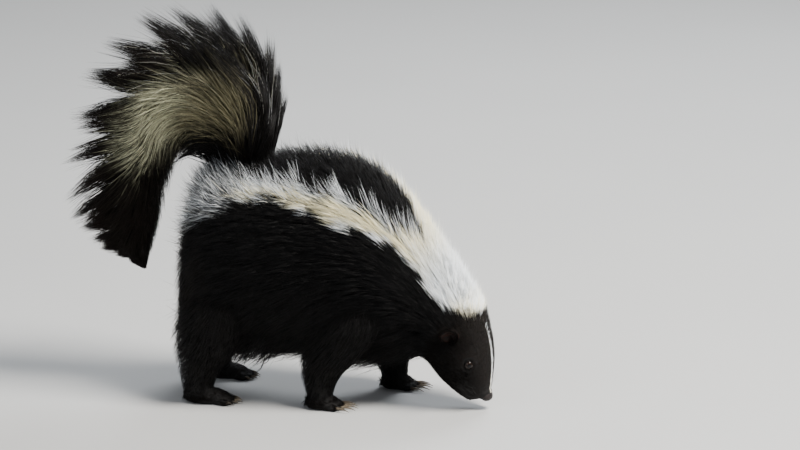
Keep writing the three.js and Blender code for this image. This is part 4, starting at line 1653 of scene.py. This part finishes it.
@dataclass
class FaceCoat:
    """The short close fur of the head."""

    name: str = "coat_face"
    first: float = 11.7
    final: float = 18.6
    count: int = 31000
    seed: int = 404
    width: float = 0.27
    off_eye: float = 0.2
    off_nose: float = 5.5
    off_mouth: float = 0.6

    def build(self) -> bpy.types.Object:
        """The fur of the face as one piece, clear of the eyes, nose and mouth."""
        rng = np.random.default_rng(self.seed)
        station, angle = trunk.scatter(self.count, self.first, self.final, rng)
        roots = trunk.point(station, angle)
        keep = np.ones(len(station), bool)
        round_eye = np.zeros(len(station))
        for eye in EYES:
            gap = np.linalg.norm(roots - eye.anchor.at, axis=1)
            keep &= gap > eye.radius + self.off_eye
            round_eye = np.maximum(round_eye, np.exp(-((gap - 7) / 2.5) ** 2))
        keep &= np.linalg.norm(roots - Nose().centre, axis=1) > self.off_nose
        keep &= Mouth().gap(roots) > self.off_mouth
        station, angle, round_eye = station[keep], angle[keep], round_eye[keep]
        count = len(station)
        muzzle = smooth(station, 14.5, 17.5)
        crown = 1 - smooth(station, 11.9, 13.2)
        white = (white_depth(station, angle) + rng.normal(0, 0.6, count) > 0).astype(float)
        run = (5.2 - 3.0 * muzzle + 4.5 * crown - 1.5 * round_eye) * rng.uniform(0.75, 1.25, count)
        turn = 0.25 * smooth(np.abs(angle), 0.6, 1.6) + rng.normal(0, 0.16, count)
        height = (0.8 + 0.25 * crown) * rng.uniform(0.6, 1.2, count)
        warm = np.clip(0.35 + 0.5 * muzzle + 0.4 * round_eye + rng.normal(0, 0.25, count), 0, 1) * (1 - white)
        width = self.width * (1 - 0.3 * muzzle) * rng.uniform(0.8, 1.2, count)
        tufts = Tufts(trunk, station, angle, run, turn, height, width, Hair.BACK, rings=1, clumps=((8, 0.2),),
                      rooted=-0.5, marks={"white": white, "warm": warm, "shade": rng.uniform(0, 1, count)})
        return coat_piece(self.name, tufts, FACE_HAIR, rng)


@dataclass
class TailCoat:
    """One stretch of the plume: long hair, pale at its root on the two sides and black towards its tip.

    Pale_top and pale_low are tables of stations and of the edges of the pale zone there, as shares from the
    inner to the outer edge of the fan. Rows holds the angle of each row of locks and its spacing in locks.
    """

    name: str
    first: float
    final: float
    count: int
    seed: int
    width: float = 0.5
    pale_top: tuple[tuple[float, ...], ...] = (
        (1, 2, 3, 4, 5, 5.6, 6.4, 7.2), (0.66, 0.72, 0.68, 0.58, 0.52, 0.47, 0.4, 0.34),
    )
    pale_low: tuple[tuple[float, ...], ...] = (
        (0, 1.3, 2, 2.8, 4, 5.5, 6.5, 7.2), (0.66, 0.56, 0.42, 0.22, 0.1, 0.1, 0.2, 0.34),
    )
    rows: tuple[tuple[float, float], ...] = (
        (0.0, 1.15), (-1.05, 1.3), (1.05, 1.3), (-2.0, 1.5), (2.0, 1.5), (math.pi, 1.5),
    )

    def locks(self, rng: np.random.Generator) -> Array:
        """Places the big locks in rows along the outer edge, on both sides and inside.

        Args:
            rng: Source of the draws.

        Returns:
            Their stations and angles.
        """
        made = []
        for angle, spacing in self.rows:
            station = np.arange(self.first + 0.1, self.final, spacing * LOCK_SPACING)
            jitter = rng.normal(0, 0.07, (len(station), 2)) * (1, 2)
            made.append(np.column_stack([station, np.full(len(station), angle)]) + jitter)
        return np.concatenate(made)

    def pale(self, station: Array, angle: Array, share: Array, rng: np.random.Generator) -> Array:
        """Finds how pale the plume is by where its hair lies between the inner and the outer edge.

        Args:
            station: Stations by tuft and level.
            angle: Angles by tuft and level.
            share: How far out through the coat, by tuft and level.
            rng: Source of the draws.

        Returns:
            From 0 for black to 1 for pale, by tuft and level.
        """
        row = spline(plume.rows, station)
        fan = spline(np.vstack([PLUME, PLUME_BEYOND]), station)
        up = np.cos(angle)
        out = share * coat_depth(row, up)
        wide = np.linalg.norm(fan[..., 0:2] - fan[..., 2:4], axis=-1)
        across = fan[..., 5] + (fan[..., 6] + out) * up / np.maximum(wide, 1)
        drift = rng.normal(0, 1, (len(station), 1))
        bands = np.sin(7 * station[:, :1] + 5 * angle[:, :1]) * np.sin(11 * angle[:, :1] - 3 * station[:, :1])
        across = across + 0.06 * drift + 0.07 * bands
        place = station + 0.3 * rng.normal(0, 1, (len(station), 1))
        low, top = np.interp(place, *self.pale_low), np.interp(place, *self.pale_top)
        inside = smooth(across, low - 0.05, low + 0.07) * (1 - smooth(across, top - 0.07, top + 0.08))
        streaks = np.sin(19 * angle[:, :1] + 8 * station[:, :1]) > 0.85 - 0.75 * smooth(place, 4.3, 6)
        return inside * smooth(place, 1.2, 2.3) * (1 - smooth(place, 6.0, 7.2)) * (1 - 0.85 * streaks)

    def build(self) -> bpy.types.Object:
        """The stretch of plume as one piece."""
        rng = np.random.default_rng(self.seed)
        count = self.count
        station = rng.uniform(self.first, self.final, count)
        angle = rng.uniform(-math.pi, math.pi, count)
        along, _ = (np.linalg.norm(v, axis=1) for v in plume.steps(station, angle))
        inside = (1 - np.cos(angle)) / 2
        flat = smooth(inside, 0.6, 0.95)
        side = np.sin(np.abs(angle)) ** 2
        reach = 1.95 - 0.75 * smooth(station, 1.2, 4.5) + 0.6 * flat + 0.3 * smooth(station, 6.5, 8.5)
        reach = reach * rng.uniform(0.75, 1.15, count)
        ragged = 8.7 + 0.4 * np.sin(9 * angle + 17 * station) + rng.uniform(-0.7, 0.5, count)
        ends = np.where(inside < 0.6, ragged, ragged + 0.5) - station
        ends = np.maximum(ends, 0) * rng.uniform(0.4, 1, count)
        reach = np.minimum(reach, ends + rng.uniform(0.1, 0.4, count))
        layer = rng.beta(2.4, 1.1, count)
        height = (0.45 + 0.7 * layer) * rng.uniform(0.94, 1.06, count)
        height = height + 0.13 * smooth(station, 0.8, 1.8) * (1 - smooth(station, 3.4, 4.6)) * (inside < 0.5)
        height = height + 0.5 * flat * (1 - smooth(station, 0.6, 1.6)) * rng.uniform(0, 1, count)
        height = height + 0.3 * smooth(station, 6.0, 7.4) * (inside < 0.5) * rng.uniform(0.3, 1, count)
        lift = 1.05 - 0.5 * flat - 0.15 * side
        tufts = Tufts(plume, station, angle, reach * along, rng.normal(0, 0.06, count), height,
                      self.width * rng.uniform(0.7, 1.3, count), Hair.ONWARD, rings=3, bow=1.0, lift=lift,
                      fan=0.45 * side * (1 - flat), clumps=((16, 0.35),), rooted=0.0, locks=self.locks(rng),
                      tight=np.where(inside > 0.55, 0.3, 1.0))
        state = rng.bit_generator.state
        pale = self.pale(*tufts.trace(rng), rng)
        rng.bit_generator.state = state
        # The warm mark turns the pale hair from the dark tan of painted shade near the root to the lit cream
        # further along.
        tufts.marks = {"white": pale, "warm": smooth(station + rng.normal(0, 0.5, count), 2.1, 4.2),
                       "shade": rng.uniform(0, 1, count)}
        return coat_piece(self.name, tufts, PLUME_HAIR, rng)


@dataclass
class Strands:
    """Single long white hairs that stand out of the plume."""

    first: float = 0.6
    final: float = 5.2
    aside: float = 1.2
    count: int = 150
    seed: int = 66
    width: float = 0.2

    def build(self) -> bpy.types.Object:
        """All strands as one piece."""
        rng = np.random.default_rng(self.seed)
        count = self.count
        station = rng.uniform(self.first, self.final, count)
        angle = rng.uniform(-self.aside, self.aside, count)
        along, _ = (np.linalg.norm(v, axis=1) for v in plume.steps(station, angle))
        reach = (1.5 - 0.4 * smooth(station, 2.5, 5.5)) * rng.uniform(0.7, 1.2, count)
        height = rng.uniform(0.8, 1.22, count)
        turn = rng.normal(0, 0.1, count)
        marks = {"white": np.full(count, 0.85), "warm": rng.uniform(0, 0.5, count),
                 "shade": rng.uniform(0, 1, count)}
        tufts = Tufts(plume, station, angle, reach * along, turn, height, np.full(count, self.width),
                      Hair.ONWARD, rings=5, bow=1.1, lift=1.0, clumps=((14, 0.45),), rooted=0.1, marks=marks)
        return coat_piece("tail_strands", tufts, COAT_HAIR, rng)


@dataclass
class LegCoat:
    """The hair of one leg, longer behind than in front."""

    leg: str
    first: float = 0.35
    count: int = 4300
    width: float = 0.38

    def build(self) -> bpy.types.Object:
        """The leg's hair as one piece."""
        loft = legs[self.leg]
        rng = np.random.default_rng(700 + list(legs).index(self.leg))
        station, angle = loft.scatter(self.count, self.first, loft.last, rng)
        count = self.count
        down = smooth(station, 1.5, 4.5)
        behind = smooth(np.abs(angle), 1.2, 2.4)
        run = (14 - 5 * down + 6 * behind * (1 - 0.7 * down)) * rng.uniform(0.75, 1.25, count)
        turn = 0.35 * behind + rng.normal(0, 0.16, count)
        height = (0.9 + 0.4 * behind) * rng.uniform(0.5, 1.15, count)
        warm = np.clip(rng.normal(0.15 if self.leg.startswith("hind") else 0.05, 0.12, count), 0, 1)
        width = self.width * (1 - 0.3 * down) * rng.uniform(0.75, 1.25, count)
        tufts = Tufts(loft, station, angle, run, turn, height, width, Hair.ONWARD, clumps=((10, 0.35),),
                      marks={"white": 0 * run, "warm": warm, "shade": rng.uniform(0, 1, count)})
        return coat_piece(f"coat_{self.leg}", tufts, COAT_HAIR, rng)


@dataclass
class PawCoat:
    """Short hair on the back of one foot and its toes."""

    paw: Paw
    count: int = 2600
    on_pad: float = 0.62
    on_toe: float = 0.076
    width: float = 0.3

    def build(self) -> bpy.types.Object:
        """The foot's hair as one piece."""
        rng = np.random.default_rng(800 + PAWS.index(self.paw))
        paw = self.paw
        shells = [(paw.middle, np.array([1.0, 0, 0]), paw.pad_radii, self.on_pad)]
        shells += [(*paw.toe_axes(spread), paw.toe_radii, self.on_toe) for spread in paw.spreads()]
        roots, outs = [], []
        for centre, along, radii, share in shells:
            ball = unit(rng.normal(0, 1, (int(self.count * share), 3)))
            ball = ball[ball[:, 2] > -0.25]
            axes = np.stack([along, np.array([-along[1], along[0], 0]), np.array([0, 0, 1.0])])
            root, out = on_ellipsoid(ball, centre, radii, axes)
            roots.append(root)
            outs.append(out)
        root, out = np.concatenate(roots), np.concatenate(outs)
        root[:, 2] -= paw.sole_cut
        keep = root[:, 2] > 1.0
        root, out = root[keep], out[keep]
        count = len(root)
        comb = unit(np.array([1.0, 0, -0.25]) + rng.normal(0, 0.16, (count, 3)))
        comb = unit(comb - out * (comb * out).sum(1, keepdims=True))
        heel = smooth(paw.middle[0] - root[:, :1], -4, 12)
        length = rng.uniform(2.6, 4.8, (count, 1)) + 3 * heel
        s = np.linspace(0, 1, 2)[None, :, None]
        rise = out[:, None] * (s ** 0.7 * (1.2 + 1.6 * heel[:, None]) - 0.5)
        paths = root[:, None] + rise + comb[:, None] * length[:, None] * s ** 1.3
        paths[..., 2] = np.maximum(paths[..., 2], FLOOR_CLEARANCE)
        low, high = root.min(0), root.max(0)
        unwrap = ((root - low) / (high - low))[:, :2]
        marks = {"white": np.zeros(count), "warm": np.full(count, 0.3), "shade": rng.uniform(0, 1, count)}
        width = self.width * rng.uniform(0.8, 1.2, count)
        return blades(f"coat_{paw.name}", paths, out, width, unwrap, marks, FACE_HAIR, rng)


@dataclass
class Whiskers:
    """Long stiff hairs on both sides of the muzzle."""

    each_side: int = 11
    stations: tuple[float, float] = (16.1, 17.5)
    degrees: tuple[float, float] = (66, 104)
    lengths: tuple[float, float] = (14, 26)
    radius: float = 0.12
    clear: float = 1.0
    seed: int = 91

    def build(self) -> bpy.types.Object:
        """All whiskers as one piece."""
        rng = np.random.default_rng(self.seed)
        paths, outs = [], []
        for side in Side:
            station = rng.uniform(*self.stations, self.each_side)
            angle = side.value * np.radians(rng.uniform(*self.degrees, self.each_side))
            out = trunk.normal(station, angle)
            back = -unit(trunk.steps(station, angle)[0])
            root = trunk.point(station, angle, -0.2)
            length = rng.uniform(*self.lengths, (self.each_side, 1))
            drift = unit(out * 0.8 + back * rng.uniform(0.35, 0.8, (self.each_side, 1)))
            s = np.linspace(0, 1, 6)[None, :, None]
            bend = back[:, None] * (length * 0.35)[:, None] * s ** 2
            paths.append(root[:, None] + drift[:, None] * length[:, None] * s + bend)
            outs.append(out)
        points = np.concatenate(paths)
        points[..., 2] = np.maximum(points[..., 2], self.clear)
        count = len(points)
        marks = {"white": np.full(count, 0.03), "warm": np.zeros(count), "shade": np.ones(count)}
        unwrap = rng.uniform(0, 1, (count, 2))  # all whiskers have one colour, so theirs may lie anywhere
        return blades("whiskers", points, np.concatenate(outs), np.full(count, self.radius), unwrap, marks,
                      FACE_HAIR, rng)


@dataclass
class Studio:
    """A plain pale floor, soft light and the camera at the photograph's angle."""

    azimuth: float = 12.0
    elevation: float = 13.0
    distance: float = 3.5
    lens: float = 175.0
    sensor: float = 36.0
    aim: tuple[float, float, float] = (99.0, 0.0, 163.0)
    lit: tuple[float, float, float] = (0.0, 0.0, 0.15)
    air: Tone = (0.9, 0.94, 1)
    air_strength: float = 0.45

    def floor(self) -> None:
        """The floor under the animal."""
        bm = bmesh.new()
        bmesh.ops.create_grid(bm, x_segments=8, y_segments=8, size=6)
        ground = as_object(bm, "floor", round_off=False)
        ground.data.materials.append(FloorFinish().material())

    def lamp(self, name: str, place: tuple[float, float, float], size: float, watts: float,
             tint: Tone) -> None:
        """Hangs a square soft light that looks at the animal.

        Args:
            name: The light's name.
            place: Where it hangs, in metres.
            size: The length of its side.
            watts: Its power.
            tint: Its colour.
        """
        light = bpy.data.lights.new(name, "AREA")
        light.size = size
        light.energy = watts
        light.color = tint
        lamp = bpy.data.objects.new(name, light)
        lamp.location = place
        lamp.rotation_euler = (Vector(self.lit) - Vector(place)).to_track_quat("-Z", "Y").to_euler()
        bpy.context.scene.collection.objects.link(lamp)

    def build(self, place: Place) -> None:
        """Sets up the whole studio round the animal.

        Args:
            place: Where the animal stands.
        """
        self.floor()
        self.lamp("key", (1.2, -0.4, 2.1), 0.9, 150, (1, 0.97, 0.91))
        self.lamp("fill", (-1.4, -2.0, 1.3), 1.6, 16, (0.86, 0.93, 1))
        self.lamp("rim", (0.5, 1.9, 1.8), 1.1, 55, (0.9, 0.95, 1))
        world = bpy.data.worlds.new("studio_air")
        world.use_nodes = True
        air = world.node_tree.nodes["Background"].inputs
        air["Color"].default_value = (*self.air, 1)
        air["Strength"].default_value = self.air_strength
        bpy.context.scene.world = world
        azimuth, elevation = math.radians(self.azimuth), math.radians(self.elevation)
        back = Vector((math.sin(azimuth) * math.cos(elevation), -math.cos(azimuth) * math.cos(elevation),
                       math.sin(elevation)))
        aim = Vector((np.array(self.aim) + place.shift) * MM)
        lens = bpy.data.cameras.new("camera")
        lens.lens = self.lens
        lens.sensor_width = self.sensor
        camera = bpy.data.objects.new("camera", lens)
        camera.location = aim + back * self.distance
        camera.rotation_euler = (-back).to_track_quat("-Z", "Y").to_euler()
        bpy.context.scene.collection.objects.link(camera)
        bpy.context.scene.camera = camera


def standing_place() -> Place:
    """Finds the drawn animal's place in the frame from the right eye's node, level with the floor."""
    low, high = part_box("eye_right")
    shift = np.array((low + high) / 2) / MM - EYES[0].centre
    return Place(np.array([shift[0], shift[1], 0.0]))


TRUNK_STRETCHES = [
    TrunkCoat("coat_rump", 0.05, 2.6, 15500, 11),
    TrunkCoat("coat_loin", 2.5, 4.5, 15500, 12),
    TrunkCoat("coat_back", 4.4, 6.4, 15500, 13),
    TrunkCoat("coat_shoulder", 6.3, 8.6, 16500, 14),
    TrunkCoat("coat_neck", 8.5, 12.15, 15500, 15, width=0.34),
]
TAIL_STRETCHES = [
    TailCoat("coat_tail_base", 0.0, 2.5, 7600, 21),
    TailCoat("coat_tail_middle", 2.5, 5.6, 10800, 22),
    TailCoat("coat_tail_tip", 5.6, 9.95, 8200, 23),
]
FLESH = (
    "head", "neck", "torso", "foreleg_right", "foreleg_left", "hindleg_right", "hindleg_left",
    "forepaw_right", "forepaw_left", "hindpaw_right", "hindpaw_left", "tail_base", "tail_middle", "tail_tip",
)


def main() -> None:
    """Builds the animal, its coat and the studio."""
    logging.basicConfig(level=logging.INFO, format="%(name)s: %(message)s")
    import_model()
    place = standing_place()
    log.info("shift %s", place.shift)
    Studio().build(place)
    place.set_down(Skin().build(), "body_fur", FLESH)
    for eye in EYES:
        suffix = eye.side.name.lower()
        place.set_down(eye.ball(), "eye", (f"eye_{suffix}",))
        place.set_down(eye.lids(), "head_fur")
    for ear in EARS:
        place.set_down(ear.build(), "ear_skin", (f"ear_{ear.side.name.lower()}",))
        place.set_down(EarCoat(ear).build(), "head_fur")
    place.set_down(Nose().build(), "nose_skin", ("nose",))
    for paw in PAWS:
        place.set_down(paw.claws(), "claw")
        place.set_down(PawCoat(paw).build(), "leg_fur")
    for stretch in TRUNK_STRETCHES:
        place.set_down(stretch.build(), "neck_fur" if stretch.name == "coat_neck" else "body_fur")
    for stretch in TAIL_STRETCHES:
        place.set_down(stretch.build(), "tail_fur")
    place.set_down(Strands().build(), "tail_fur")
    place.set_down(FaceCoat().build(), "head_fur")
    for name in legs:
        place.set_down(LegCoat(name).build(), "leg_fur")
    place.set_down(Whiskers().build(), "head_fur")


if __name__ == "__main__":
    main()
